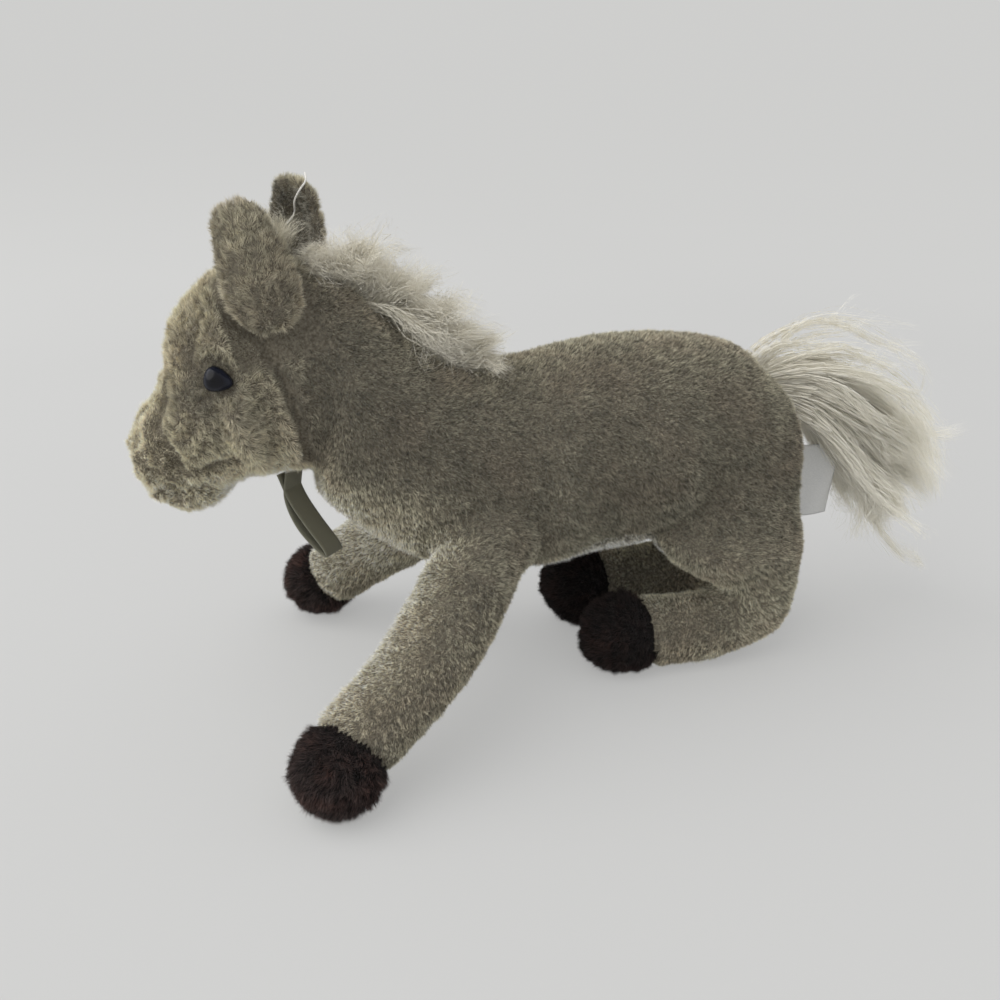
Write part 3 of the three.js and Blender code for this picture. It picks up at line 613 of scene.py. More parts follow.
def head_place(size, forward, side, up):
    """A point of the head, in metres forward of, beside and above the neck joint."""
    look, right = facing(size)
    forward, side, up = (np.asarray(value, float)[..., None] for value in (forward, side, up))
    return NECK + forward * look + side * right + up * np.array([0.0, 0.0, 1.0])


def head_view(size, points):
    """The same numbers back: forward, beside and above the neck joint."""
    look, right = facing(size)
    away = np.asarray(points) - NECK
    return away @ look, away @ right, away[..., 2]


def stuffed(centres, rises, breadths, domes, around=48, along=64, caps=8):
    """A closed form that swells and tapers through its rings and is domed at both ends."""
    shares = np.linspace(0, 1, along)
    middle = spline_through(centres, shares)
    rise = spline_through(rises, shares)
    side = spline_through(breadths, shares)
    start = unit(middle[1] - middle[0])
    end = unit(middle[-1] - middle[-2])
    angles = np.linspace(0, math.pi / 2, caps + 1)[1:-1]
    heads, tails = (
        [(middle[k] + dome * math.sin(a), rise[k] * math.cos(a), side[k] * math.cos(a)) for a in angles]
        for k, dome in ((0, -start * domes[0]), (-1, end * domes[1]))
    )
    levels = heads[::-1] + list(zip(middle, rise, side)) + tails
    turn = np.linspace(0, 2 * math.pi, around, endpoint=False)[:, None]
    points = [centre + np.cos(turn) * breadth + np.sin(turn) * height for centre, height, breadth in levels]
    rows = len(points)
    points = np.vstack(points + [middle[:1] - start * domes[0], middle[-1:] + end * domes[1]])
    faces = []
    for row in range(rows - 1):
        for j in range(around):
            k = (j + 1) % around
            a, b = row * around, (row + 1) * around
            faces += [(a + j, a + k, b + k), (a + j, b + k, b + j)]
    first, last = rows * around, rows * around + 1
    for j in range(around):
        k = (j + 1) % around
        faces.append((first, k, j))
        faces.append((last, (rows - 1) * around + j, (rows - 1) * around + k))
    if np.cross(side[0], rise[0]) @ start < 0:
        faces = [face[::-1] for face in faces]
    return points, np.array(faces)


def egg(centre, radii, turn=0.0):
    """A closed ball with three radii, turned about the upright axis."""
    waist = 0.02
    line = np.array([[0, 0, -1.0], [0, 0, 1.0]]) * radii[2] * waist
    dome = radii[2] * (1 - waist)
    points, faces = stuffed(
        line, np.tile([[0, radii[1], 0.0]], (2, 1)), np.tile([[radii[0], 0.0, 0]], (2, 1)), (dome, dome),
        around=40, along=2, caps=12,
    )
    c, s = math.cos(turn), math.sin(turn)
    return points @ np.array([[c, s, 0], [-s, c, 0], [0, 0, 1]]) + centre, faces


def trunk_form(size):
    """Neck, chest, back and rump in one form."""
    rows = np.array(TRUNK_SHARES)
    zero = np.zeros(len(rows))
    top = np.stack([along_trunk(size, rows[:, 0]), zero + MIDLINE, rows[:, 1] * size.back_height], 1)
    under = np.stack([along_trunk(size, rows[:, 2]), zero + MIDLINE, rows[:, 3] * size.back_height], 1)
    breadth = np.stack([zero, rows[:, 4] * size.trunk_width / 2, zero], 1)
    middle = (top + under) / 2
    domes = (0.015 * size.trunk_length, 0.060 * size.trunk_length)
    return stuffed(middle, top - middle, breadth, domes, around=72, along=120)


def thigh_form(size, sign):
    """One haunch, from its top down to the hock."""
    rows = np.array(THIGH_SHARES)
    zero = np.zeros(len(rows))
    out = abs(LIMB_JOINT["hindleg_right"][1] - MIDLINE)
    middle = np.stack(
        [along_trunk(size, rows[:, 0]), MIDLINE + sign * rows[:, 4] * out, rows[:, 2] * size.back_height], 1
    )
    rise = np.stack([zero, rows[:, 3] * size.thigh_width / 2, zero], 1)
    side = np.stack([rows[:, 1] * size.trunk_length, zero, zero], 1)
    return stuffed(middle, rise, side, (0.08 * size.trunk_length, 0.02 * size.trunk_length))


def head_form(size):
    """The head from the poll to the nose."""
    rows = np.array(HEAD_SHARES)
    zero = np.zeros(len(rows))
    top = head_place(size, rows[:, 0] * size.head_length, zero, rows[:, 1] * size.head_depth)
    under = head_place(size, rows[:, 2] * size.head_length, zero, rows[:, 3] * size.head_depth)
    breadth = rows[:, 4:5] * size.head_width / 2 * facing(size)[1]
    middle = (top + under) / 2
    domes = (0.055 * size.head_length, 0.05 * size.head_length)
    return stuffed(middle, top - middle, breadth, domes, around=72, along=110)


def limb_path(size, name):
    """Middle line and radii of a limb from its joint to its hoof, and the point and direction of the hoof seam."""
    joint = LIMB_JOINT[name]
    fore = name.startswith("foreleg")
    fullness = FULLNESS.get(name, 1.0)
    hoof_radius = size.hoof_thickness / 2 * fullness
    sole = joint + np.array([*SOLES[name], 0.0])
    sole[2] = hoof_radius - size.sole_depth
    span = sole - joint
    length = np.linalg.norm(span)
    outward = unit(np.array([-span[1], span[0], 0.0])) * length * -np.sign(joint[1] - MIDLINE)
    table = np.array(FORELEG_SHARES if fore else SHANK_SHARES)
    radii = list(table[:, 1] * (size.foreleg_thickness if fore else size.shank_thickness) / 2 * fullness)
    points = [joint + span * share + outward * bow for share, _, bow in table]
    if not fore:
        for point, radius, lift in zip(points, radii, SHANK_LIFT_SHARES):
            point[2] = radius - size.sole_depth + lift * size.hock_lift
    seam = joint + span * (1 - (size.hoof_length - hoof_radius) / length)
    seam_radius = 0.97 * hoof_radius
    if not fore:
        seam[2] = seam_radius - size.sole_depth
    points += [seam, sole]
    radii += [seam_radius, hoof_radius]
    return np.array(points), np.array(radii), seam, unit(span)


def hoof_edge(name):
    """How far past the seam's middle the hoof's plush starts."""
    return 0.0015 if name.startswith("foreleg") else -0.0013


def limb_form(size, name):
    """One leg from its joint to its hoof."""
    points, radii, _, _ = limb_path(size, name)
    finer = 8
    fine = spline_through(points, np.linspace(0, 1, len(points) * finer))
    tangents = unit(np.gradient(fine, axis=0))[::finer]
    tangents = unit(np.vstack([tangents[:-1], fine[-1:] - fine[-2:-1]]))
    side = unit(np.cross(tangents, [0, 0, 1.0])) * radii[:, None]
    rise = unit(np.cross(side, tangents)) * radii[:, None]
    return stuffed(points, rise, side, (radii[0] / 2, radii[-1]), around=40, along=48)


# Radii of the balls that fill the skin out at the neck, the chin and the legs' joints. The chin's is placed by
# shares of the head's length and depth.
NECK_BALL = (0.037, 0.0265, 0.037)
CHIN_BALL = (0.0165, 0.0155, 0.0115)
CHIN_AT = (0.676, 0.0, -0.5)
FORELEG_BALL, HINDLEG_BALL = 0.021, 0.017
# Nothing lies lower than this over the floor
LOWEST_CLOTH, LOWEST_PILE, LOWEST_HAIR = 0.0008, 0.0004, 0.0006
# Fibres and hair start this far under the cloth
FIBRE_ROOT, MANE_ROOT, HAIR_ROOT = 0.0003, 0.0006, 0.0008
DEEPEST_HOLLOW = 0.0024


def whole_form(context):
    """Every stuffed form in one skin, smoothed where the forms meet, with the floor's flat under it."""
    size = settings(context, "foal_sizes")
    parts = [trunk_form(size), head_form(size)]
    parts += [thigh_form(size, sign) for sign in SIDES.values()]
    parts += [limb_form(size, name) for name in LIMB_JOINT]
    parts.append(egg(NECK, NECK_BALL, -size.head_turn))
    chin = head_place(size, CHIN_AT[0] * size.head_length, CHIN_AT[1], CHIN_AT[2] * size.head_depth)
    parts.append(egg(chin, CHIN_BALL, -size.head_turn))
    for name, joint in LIMB_JOINT.items():
        radius = FORELEG_BALL if name.startswith("foreleg") else HINDLEG_BALL
        parts.append(egg(joint, (radius, radius, radius)))
    vertices, faces, count = [], [], 0
    for points, corners in parts:
        vertices.append(points)
        faces.append(corners + count)
        count += len(points)
    form = new_mesh("whole_form", np.vstack(vertices), np.vstack(faces))
    remesh(form, size.fineness)
    keep_largest(form)
    relax(form, 10)
    points = coordinates(form)
    # The lower haunches are evened out further
    relax(form, 60, keep=smooth_step(points[:, 0], 0.052, 0.066) * smooth_step(points[:, 2], 0.085, 0.07))
    pull_in(size, form)
    carve_face(size, form)
    set_coordinates(form, coordinates(form) - normals_of(form) * size.cloth_inset)
    points = coordinates(form)
    points[:, 2] = np.maximum(points[:, 2], LOWEST_CLOTH)
    set_coordinates(form, points)
    return form


def pull_in(size, form):
    """Deepens the hollows where two stuffed forms meet, and notes where the pile is pressed short."""
    points, normals = coordinates(form), normals_of(form)
    relax(form, 45)
    hollow = ((coordinates(form) - points) * normals).sum(1)
    hollow = np.clip(hollow, 0, DEEPEST_HOLLOW)
    forward, _, up = head_view(size, points)
    share = np.where(points[:, 2] < 0.078, 1.0, 0.35)
    share *= 1 - smooth_step(points[:, 0], 0.046, 0.066)
    share = np.where((forward > -0.012) & (up < -0.018), 0.5, share)
    hollow *= share
    set_coordinates(form, points - normals * (1.1 * hollow)[:, None])
    store(form, "pressed", hollow / DEEPEST_HOLLOW)


def keep_largest(thing):
    """Leaves the outer skin alone and drops the hollows inside it."""
    points = coordinates(thing)
    a, b = edge_ends(thing)
    label = np.arange(len(points))
    while True:
        low = np.minimum(label[a], label[b])
        before = label.copy()
        np.minimum.at(label, a, low)
        np.minimum.at(label, b, low)
        label = label[label]
        if (label == before).all():
            break
    names, counts = np.unique(label, return_counts=True)
    keep = label == names[counts.argmax()]
    faces = face_corners(thing)
    faces = faces[keep[faces[:, 0]]]
    order = np.cumsum(keep) - 1
    rebuilt = new_mesh("kept", points[keep], order[faces])
    thing.data = rebuilt.data
    bpy.data.objects.remove(rebuilt)


def face_corners(thing):
    """The vertices at the corners of each face."""
    out = np.empty(len(thing.data.loops), np.int32)
    thing.data.loops.foreach_get("vertex_index", out)
    return out.reshape(len(thing.data.polygons), -1)


# The face, on both sides of the head. Bumps and hollows have their middle forward of, beside and above the
# neck joint, then their reach and height. Creases have their depth and reach, then the points that they pass.
FACE_FORMS = (
    (0.0251, 0.0290, 0.0026, 0.0080, -0.0022),
    (0.0250, 0.0270, 0.0140, 0.0080, 0.0018),
    (0.0330, 0.0250, -0.0150, 0.0125, 0.0028),
    (0.0550, 0.0190, -0.0190, 0.0080, 0.0022),
    (0.0577, 0.0180, -0.0215, 0.0030, -0.0030),
    (0.0471, 0.0150, -0.0430, 0.0045, -0.0030),
    (0.0360, 0.0120, -0.0450, 0.0090, 0.0018),
    (0.0570, 0.0120, -0.0420, 0.0080, 0.0014),
)
FACE_CREASES = (
    (0.0040, 0.0032, (
        (0.0464, 0.0201, -0.0020), (0.0480, 0.0204, -0.0083), (0.0503, 0.0214, -0.0154),
        (0.0487, 0.0230, -0.0204), (0.0451, 0.0239, -0.0257), (0.0455, 0.0220, -0.0321),
    )),
    (0.0021, 0.0030, (
        (0.0640, 0.0000, -0.0310), (0.0620, 0.0090, -0.0315), (0.0600, 0.0181, -0.0322),
        (0.0545, 0.0200, -0.0340), (0.0463, 0.0210, -0.0348), (0.0387, 0.0220, -0.0335),
        (0.0310, 0.0225, -0.0308), (0.0227, 0.0225, -0.0284),
    )),
    (0.0007, 0.0028, (
        (0.0300, 0.0230, 0.0200), (0.0325, 0.0253, 0.0135), (0.0334, 0.0273, 0.0088), (0.0309, 0.0284, 0.0056),
    )),
)
CHEEK_SEAM = (
    (-0.035, -0.0025), (-0.016, -0.0025), (-0.008, -0.0007), (0.0, 0.0011), (0.007, 0.0038), (0.016, 0.0081),
    (0.021, 0.0122), (0.03, 0.020),
)


# Seams of cheek, belly and hooves. Those of cheek and belly stop short of the midline.
SEAM_DEPTH, SEAM_REACH, HEM_DEPTH, RING_DEPTH = 0.0030, 0.0019, 0.0008, 0.0011
OFF_MIDDLE = 0.006
BELLY_HEIGHT, BELLY_SLACK = 0.076, 0.0022


def near_line(points, line):
    """How far each point lies from a line through given points."""
    fine = spline_through(line, np.linspace(0, 1, 8 * len(line)))
    out = np.full(len(points), 1.0)
    for place in fine:
        out = np.minimum(out, np.linalg.norm(points - place, axis=1))
    return out


def carve_face(size, form):
    """Shapes the face, sinks creases and seams, and stores as shares how long the pile is and how dark it is painted.
    """
    points = coordinates(form)
    normals = normals_of(form)
    forward, side, up = head_view(size, points)
    here = np.stack([forward, np.abs(side), up], 1)
    lift = np.zeros(len(points))
    length = 1 - 0.45 * stored(form, "pressed")
    ahead_of_joint = forward > 0
    for ahead, beside, above, reach, height in FACE_FORMS:
        away = ((here - (ahead, beside, above)) ** 2).sum(1)
        lift += height * np.exp(-away / reach**2) * ahead_of_joint
    for depth, reach, line in FACE_CREASES:
        fold = np.exp(-((near_line(here, line) / reach) ** 2)) * ahead_of_joint
        lift -= depth * fold
        length *= 1 - 0.45 * fold
    woolly = 0.0003 + 0.0006 * smooth_step(forward, 0.034, 0.05)
    lift += woolly * cosine_noise(here, 0.0105, 61) * smooth_step(forward, 0.0, 0.012)
    seam = np.abs(forward - np.interp(up, *np.array(CHEEK_SEAM).T))
    seam = np.exp(-((seam / SEAM_REACH) ** 2)) * smooth_step(up, -0.036, -0.030) * smooth_step(up, 0.034, 0.026)
    seam *= np.abs(side) > OFF_MIDDLE
    lift -= SEAM_DEPTH * seam
    length *= 1 - 0.85 * seam
    muzzle = smooth_step(forward, 0.036, 0.05)
    length *= 1 - 0.22 * muzzle
    under = (points[:, 2] < BELLY_HEIGHT) * smooth_step(-normals[:, 2], 0.1, 0.4)
    outside = gusset_reach(size, points)
    slack = np.exp(-(((points[:, 0] - along_trunk(size, 0.25)) / 0.026) ** 2)) * smooth_step(outside, 0.004, -0.006)
    lift += BELLY_SLACK * slack * under
    hem = np.exp(-((outside / 0.0013) ** 2)) * under * (np.abs(points[:, 1] - MIDLINE) > OFF_MIDDLE)
    lift -= HEM_DEPTH * hem
    length *= 1 - 0.5 * hem
    for name in LIMB_JOINT:
        _, _, edge, direction = limb_path(size, name)
        off = (points - edge) @ direction - hoof_edge(name)
        away = np.linalg.norm(points - edge, axis=1)
        lift += 0.0002 * smooth_step(off, 0, 0.004) * (away < 0.04) * (points[:, 2] < 0.04)
        ring = np.exp(-((off / 0.0018) ** 2)) * (away < 0.024)
        lift -= RING_DEPTH * ring
        length *= 1 - 0.5 * ring
    for eye in SIDES:
        length *= smooth_step(eye_reach(eye, points), 1.0, 1.9) * 0.45 + 0.55
    for ear in EARS.values():
        root, up, _, across = ear_frame(size, ear)
        level = (points - root) @ up / size.ear_length
        beside = np.abs((points - root) @ across) / (size.ear_width / 2)
        under = smooth_step(level, -0.34, -0.22) * smooth_step(level, 0.5, 0.4) * smooth_step(beside, 1.35, 1.1)
        under *= ear["sign"] * side > 0.008
        lift -= 0.0012 * under
        length *= 1 - 0.65 * under
    points = points + normals * lift[:, None]
    for eye in SIDES:
        place, out, _ = eye_place(eye)
        over = np.maximum((points - place) @ out + 0.0002, 0)
        around = 1 - smooth_step(eye_reach(eye, points), 1.15, 3.0)
        points = points - out * (over * around)[:, None]
    set_coordinates(form, points)
    length = np.clip(length, 0.15, 1)
    store(form, "pile_share", length)
    # The pile is darker where it is short, as painted shade in the hollows, creases and seams, round the eyes and under
    # the ears. It is also darker in a patch below the eye.
    dark_patch_below_eye = np.exp(-((here - (0.0295, 0.0270, -0.0030)) ** 2).sum(1) / 0.0045**2) * ahead_of_joint
    store(form, "tone_share", (0.45 + 0.55 * length) * (1 - 0.6 * dark_patch_below_eye) * (1 - 0.6 * seam))


def eye_place(side):
    """Seat of an eye on the cheek, its direction outwards and its long way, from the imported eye."""
    data = frame["nodes"][f"eye_{side}"].data
    points = np.array([v.co for v in data.vertices], float)
    far = points[np.linalg.norm(points - points.mean(0), axis=1).argmax()]
    post_reach, rim_low, rim_high, seat = 0.0035, -0.0045, -0.0030, 0.0027
    tip = points[np.linalg.norm(points - far, axis=1) < post_reach].mean(0)
    apex = points[np.linalg.norm(points - tip, axis=1).argmax()]
    out = unit(apex - tip)
    height = (points - apex) @ out
    rim = points[(height < rim_high) & (height > rim_low)]
    flat = rim - rim.mean(0)
    flat = flat - np.outer(flat @ out, out)
    long_way = unit(flat[np.linalg.norm(flat, axis=1).argmax()])
    if long_way[2] > 0:
        long_way = -long_way
    return apex - out * seat, out, long_way


def eye_reach(side, points):
    """How far out each point lies from an eye's middle, where its rim is 1. The other cheek is far off."""
    trim = settings(bpy.context, "foal_trim")
    place, out, long_way = eye_place(side)
    away = points - place
    x = away @ long_way / (trim.eye_length / 2)
    y = away @ np.cross(out, long_way) / (trim.eye_height / 2)
    return np.sqrt(x**2 + y**2) + 9.0 * (np.abs(away @ out) > 0.012)


# Which body each stretch of cloth belongs to


def limb_reach(size, name, points):
    """How far along a limb each point lies, and how far from its middle line."""
    line, _, _, _ = limb_path(size, name)
    fine = spline_through(line, np.linspace(0, 1, 60))
    steps = np.concatenate([[0], np.cumsum(np.linalg.norm(np.diff(fine, axis=0), axis=1))])
    away = np.linalg.norm(points[:, None, :] - fine[None], axis=2)
    nearest = away.argmin(1)
    return steps[nearest], away.min(1)


def gusset_reach(size, points):
    """How far outside the edge of the belly's gusset each point lies. Points inside it are below 0."""
    along = (points[:, 0] - along_trunk(size, 0.19)) / 0.058
    return np.abs(points[:, 1] - MIDLINE) - 0.0235 * np.clip(1 - along**2, 0, 1)


# Where the cloth of head and legs starts, forward of or along from their joints, and how far from a leg's middle
# line or above the floor it may lie
HEAD_SEAM = -0.004
FORELEG_SPLIT, FORELEG_REACH = 0.030, 0.027
SHANK_SPLIT, SHANK_REACH, SHANK_HEIGHT = 0.014, 0.021, 0.038


def cloth_labels(size, form):
    """The piece that each face of the whole form belongs to."""
    faces = face_corners(form)
    middle = coordinates(form)[faces].mean(1)
    normals = normals_of(form)[faces].mean(1)
    label = np.full(len(faces), "trunk_cloth", object)
    label[(gusset_reach(size, middle) < 0) & (middle[:, 2] < BELLY_HEIGHT) & (normals[:, 2] < 0)] = "belly_cloth"
    forward, _, up = head_view(size, middle)
    jaw = np.where(forward > 0.03, -0.068, -0.062 + 0.3 * forward)
    label[(forward > HEAD_SEAM) & (up > jaw)] = "head_cloth"
    for name in LIMB_JOINT:
        reach, away = limb_reach(size, name, middle)
        _, _, seam, direction = limb_path(size, name)
        if name.startswith("foreleg"):
            limb = (reach > FORELEG_SPLIT) & (away < FORELEG_REACH) & (label != "head_cloth")
        else:
            ahead = middle[:, 0] < LIMB_JOINT[name][0] - SHANK_SPLIT
            limb = ahead & (away < SHANK_REACH) & (middle[:, 2] < SHANK_HEIGHT)
        hoof = limb & ((middle - seam) @ direction > hoof_edge(name))
        label[limb] = f"{name}_cloth"
        label[hoof] = f"{name}_hoof_cloth"
    return faces, label


CLOTH = {
    "trunk_cloth": ("trunk", ("trunk_skin", "haunch_left_skin", "haunch_right_skin")),
    "belly_cloth": ("trunk", ("belly_panel",)),
    "head_cloth": ("head", ("head_skin",)),
    **{f"{name}_cloth": (f"{name}_body", (f"{name}_skin",)) for name in LIMB_JOINT},
    **{f"{name}_hoof_cloth": (f"{name}_body", (f"{name}_hoof",)) for name in LIMB_JOINT},
}


# Where a bend of the cloth from the trunk onto its own body would start and end, forward of or along from a joint
BENDS = {
    "head": (0.001, 0.024),
    "foreleg": (0.036, 0.058),
    "hindleg": (SHANK_SPLIT + 0.003, SHANK_SPLIT + 0.026),
}


def bend_line(size, name):
    """Body across whose joint a piece lies, where a bend onto it would start and end, or None if the piece only rides.
    """
    if name.startswith("head"):
        look, _ = facing(size)
        return "head", *(NECK + look * along for along in BENDS["head"])
    for limb, joint in LIMB_JOINT.items():
        if name.startswith(limb) and "hoof" not in name:
            _, _, _, direction = limb_path(size, limb)
            return f"{limb}_body", *(joint + direction * along for along in BENDS[limb.split("_")[0]])
    return None


def fasten(size, thing, name, body):
    """Leaves a piece that crosses a joint fixed where it lies, or lets it ride on its body where it has none."""
    bend = bend_line(size, name)
    if bend:
        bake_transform(thing)
    else:
        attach(thing, body)


def nap(size, points, normals, name):
    """Which way the pile lies on the cloth."""
    if name.startswith("head"):
        look, _ = facing(size)
        forward, _, _ = head_view(size, points)
        flow = np.tile(-look + np.array([0, 0, 0.15]), (len(points), 1))
        flow[:, 2] += 0.9 * smooth_step(forward, 0.02, 0.05)
    elif name.startswith(("foreleg", "hindleg")):
        limb = "_".join(name.split("_")[:2])
        _, _, _, direction = limb_path(size, limb)
        flow = np.tile(direction, (len(points), 1))
    else:
        flow = np.tile(np.array([0.8, 0, -0.6]), (len(points), 1))
    flow = flow - normals * (flow * normals).sum(1, keepdims=True)
    return unit(flow)


def pile_level_with_painted_light(size, points, normals, name):
    """Painted light on the pile: darkest where it faces sideways, lightest on the brow, the chest and the legs."""
    if "hoof" in name:
        return np.full(len(points), 1.0 if "foreleg" in name else 0.45)
    if name.startswith("head"):
        look, right = facing(size)
        middle = head_place(size, 0.5 * size.head_length, 0.0, -0.05 * size.head_depth)
        normals = unit(points - middle)
        ahead, aside = np.maximum(normals @ look, 0), 1 - np.abs(normals @ right)
        # Painted light: lighter where the head faces forward, where it faces up or down rather than sideways, and under
        # the jaw
        level = 1.02 + 0.74 * ahead + 0.50 * aside + 0.70 * np.maximum(-normals[:, 2], 0) ** 1.5
        forward, _, up = head_view(size, points)
        behind = smooth_step(np.interp(up, *np.array(CHEEK_SEAM).T) - forward, -0.001, 0.004)
        return level * (1 - behind) + 0.82 * behind
    if "belly" in name:
        return np.full(len(points), 1.5)
    # Painted light: lighter low on the legs, along a rim where the surface turns from the side, and on the front of the
    # chest
    rise = points[:, 2]
    fore = points[:, 0] < 0
    low = np.where(fore, smooth_step(rise, 0.085, 0.045), smooth_step(rise, 0.075, 0.018))
    side = 0.55 + np.where(fore, 0.43, 0.62) * low
    edge = np.where(fore, 0.45, 0.42) - np.where(fore, 0.25, 0.3) * low
    level = side + edge * (1 - np.abs(normals[:, 1]))
    chest = smooth_step(-points[:, 0], 0.045, 0.075) * smooth_step(rise, 0.112, 0.082)
    return level + 1.5 * np.maximum(-normals[:, 0], 0) ** 0.8 * chest


def fibres(name, points, normals, flow, lengths, lean, width, tone, level, gather, seed, material):
    """Short pile: one thin three-cornered blade for each root. gather says how wide the tufts are that blades
    lean together in, how strongly they lean, and how deep the partings between them are."""
    rng = np.random.default_rng(seed)
    count = len(points)
    side = unit(np.cross(normals, flow))
    swing = rng.normal(0, 0.35, (count, 1))
    flow, side = flow * np.cos(swing) + side * np.sin(swing), side * np.cos(swing) - flow * np.sin(swing)
    tilt = np.clip(rng.normal(lean, 0.18, (count, 1)), 0.1, 1.35)
    direction = normals * np.cos(tilt) + flow * np.sin(tilt)
    together = [cosine_noise(points, gather[0], 200 + k)[:, None] for k in range(2)]
    direction = unit(direction + gather[1] * (side * together[0] + flow * together[1]))
    roll = rng.uniform(0, math.pi, (count, 1))
    across = unit(np.cross(direction, normals + 1e-6))
    across = across * np.cos(roll) + np.cross(direction, across) * np.sin(roll)
    lengths = (lengths * rng.uniform(0.7, 1.12, count))[:, None]
    half = across * width * rng.uniform(0.35, 0.6, (count, 1))
    root = points - normals * FIBRE_ROOT
    vertices = np.stack([root - half, root + half, root + direction * lengths], 1).reshape(-1, 3)
    vertices[:, 2] = np.maximum(vertices[:, 2], LOWEST_PILE)
    thing = new_mesh(name, vertices, np.arange(count * 3).reshape(-1, 3), [material], shade_smooth=False)
    store(thing, "along", np.tile([0.0, 0.0, 1.0], count))
    store(thing, "tone", np.repeat(tone, 3))
    store(thing, "level", np.repeat(level, 3))
    return thing


FACES_IN_ONE_PIECE = 180000


def plush_slot(name):
    """The slot of a piece of cloth and of its pile."""
    return "hoof_plush" if "hoof" in name else "belly_plush" if "belly" in name else "plush"


def piece_of(name, points, normals, faces, material):
    """A piece of cloth from some of a form's faces, and the form's vertices that it has."""
    used = np.unique(faces)
    order = np.full(len(points), -1)
    order[used] = np.arange(len(used))
    piece = new_mesh(name, points[used], order[faces], [material])
    store(piece, "rise", normals[used])
    return piece, used


def grow_pile(
    cloth, length, lean, width, density, seed, material, tuft_scale, tuft_swing, gather, fasten_piece, clear=None
):
    """Covers a piece of cloth in pile, in as many pieces as its number of fibres needs. clear says which roots
    stay."""
    corners, weights = scatter(cloth, density, seed)
    points = carried(coordinates(cloth), corners, weights)
    normals = unit(carried(stored(cloth, "rise"), corners, weights))
    flow = unit(carried(stored(cloth, "flow"), corners, weights))
    share = carried(stored(cloth, "pile_share"), corners, weights)
    tuft = cosine_noise(points, tuft_scale, seed)
    flow = unit(flow + tuft_swing * np.cross(normals, flow) * tuft[:, None])
    lengths = length * share * (1 + 0.16 * cosine_noise(points, 0.009, seed + 50))
    rng = np.random.default_rng(seed)
    spot = cosine_noise(points, 0.0010, seed + 9) + 0.6 * cosine_noise(points, 0.0022, seed + 19)
    tone = np.clip(rng.normal(0.5, 0.24, len(points)) + 0.36 * spot + 0.05 * tuft, 0, 1)
    # Painted shade from the cloth: tone and level are darker in its hollows, creases and seams.
    tone *= carried(stored(cloth, "tone_share"), corners, weights)
    level = carried(stored(cloth, "level") * (0.25 + 0.75 * stored(cloth, "tone_share")), corners, weights)
    # Painted shade in the partings between tufts: the fibres there are shorter, and their level darker.
    parting = smooth_step(-cosine_noise(points, gather[0] * 1.15, 300), 0.2, 1.3)
    lengths = lengths * (1 - gather[2] * parting)
    level = level * (1 - gather[2] * parting) * (1 + 0.10 * cosine_noise(points, 0.012, 310))
    if clear is not None:
        kept = clear(points)
        points, normals, flow = points[kept], normals[kept], flow[kept]
        lengths, tone, level = lengths[kept], tone[kept], level[kept]
    order = points[:, 0].argsort()
    parts = max(1, math.ceil(len(points) / FACES_IN_ONE_PIECE))
    base = cloth.name.replace("cloth", "pile")
    for number, chosen in enumerate(np.array_split(order, parts), 1):
        name = base if parts == 1 else f"{base}_{number}"
        made = fibres(
            name, points[chosen], normals[chosen], flow[chosen], lengths[chosen], lean, width, tone[chosen],
            level[chosen], gather, seed + 7 * number, material,
        )
        fasten_piece(made)


def scatter(thing, per_square_metre, seed):
    """Even random roots on a mesh: places, and the weights that carry vertex values to them."""
    rng = np.random.default_rng(seed)
    faces = face_corners(thing)
    if faces.shape[1] == 4:
        faces = np.vstack([faces[:, [0, 1, 2]], faces[:, [0, 2, 3]]])
    corners = coordinates(thing)[faces]
    area = np.linalg.norm(np.cross(corners[:, 1] - corners[:, 0], corners[:, 2] - corners[:, 0]), axis=1) / 2
    count = int(area.sum() * per_square_metre)
    chosen = rng.choice(len(faces), count, p=area / area.sum())
    u, v = rng.random((2, count))
    flip = u + v > 1
    u, v = np.where(flip, 1 - u, u), np.where(flip, 1 - v, v)
    weights = np.stack([1 - u - v, u, v], 1)
    return faces[chosen], weights


def carried(values, corners, weights):
    """Vertex values at places that scatter chose."""
    values = np.asarray(values)
    picked = values[corners]
    return (picked * (weights[..., None] if values.ndim == 2 else weights)).sum(1)


# Ears


# Roots as shares of the head's length, width and depth, and turns and leans in degrees
EARS = {
    "left": dict(sign=-1, forward=0.07, out=0.40, up=0.25, turn=68, forward_lean=12, out_lean=4),
    "right": dict(sign=1, forward=0.13, out=0.38, up=0.285, turn=66, forward_lean=-13, out_lean=7),
}
# Up along an ear from its root, and its width there, both as shares
EAR_OUTLINE = (
    (0.02, 0.34), (0.08, 0.56), (0.18, 0.76), (0.34, 0.88), (0.54, 0.84), (0.74, 0.72), (0.9, 0.56), (1.0, 0.26),
)


def ear_frame(size, ear):
    """Root of an ear, and its directions upwards, towards what it faces, and across."""
    look, right = facing(size)
    root = head_place(
        size, ear["forward"] * size.head_length, ear["sign"] * ear["out"] * size.head_width, ear["up"] * size.head_depth
    )
    lean, out = math.tan(math.radians(ear["forward_lean"])), math.tan(math.radians(ear["out_lean"]))
    up = unit(lean * look + ear["sign"] * out * right + np.array([0, 0, 1.0]))
    turn = math.radians(ear["turn"])
    face = math.cos(turn) * look - ear["sign"] * math.sin(turn) * right
    face = unit(face - up * (face @ up))
    return root, up, face, np.cross(up, face)


def cloth_tree():
    """All the body's cloth in one search tree."""
    points, faces, count = [], [], 0
    for name in CLOTH:
        cloth = bpy.data.objects[name]
        points.append(coordinates(cloth))
        faces.append(face_corners(cloth) + count)
        count += len(points[-1])
    return BVHTree.FromPolygons(np.vstack(points).tolist(), np.vstack(faces).tolist())


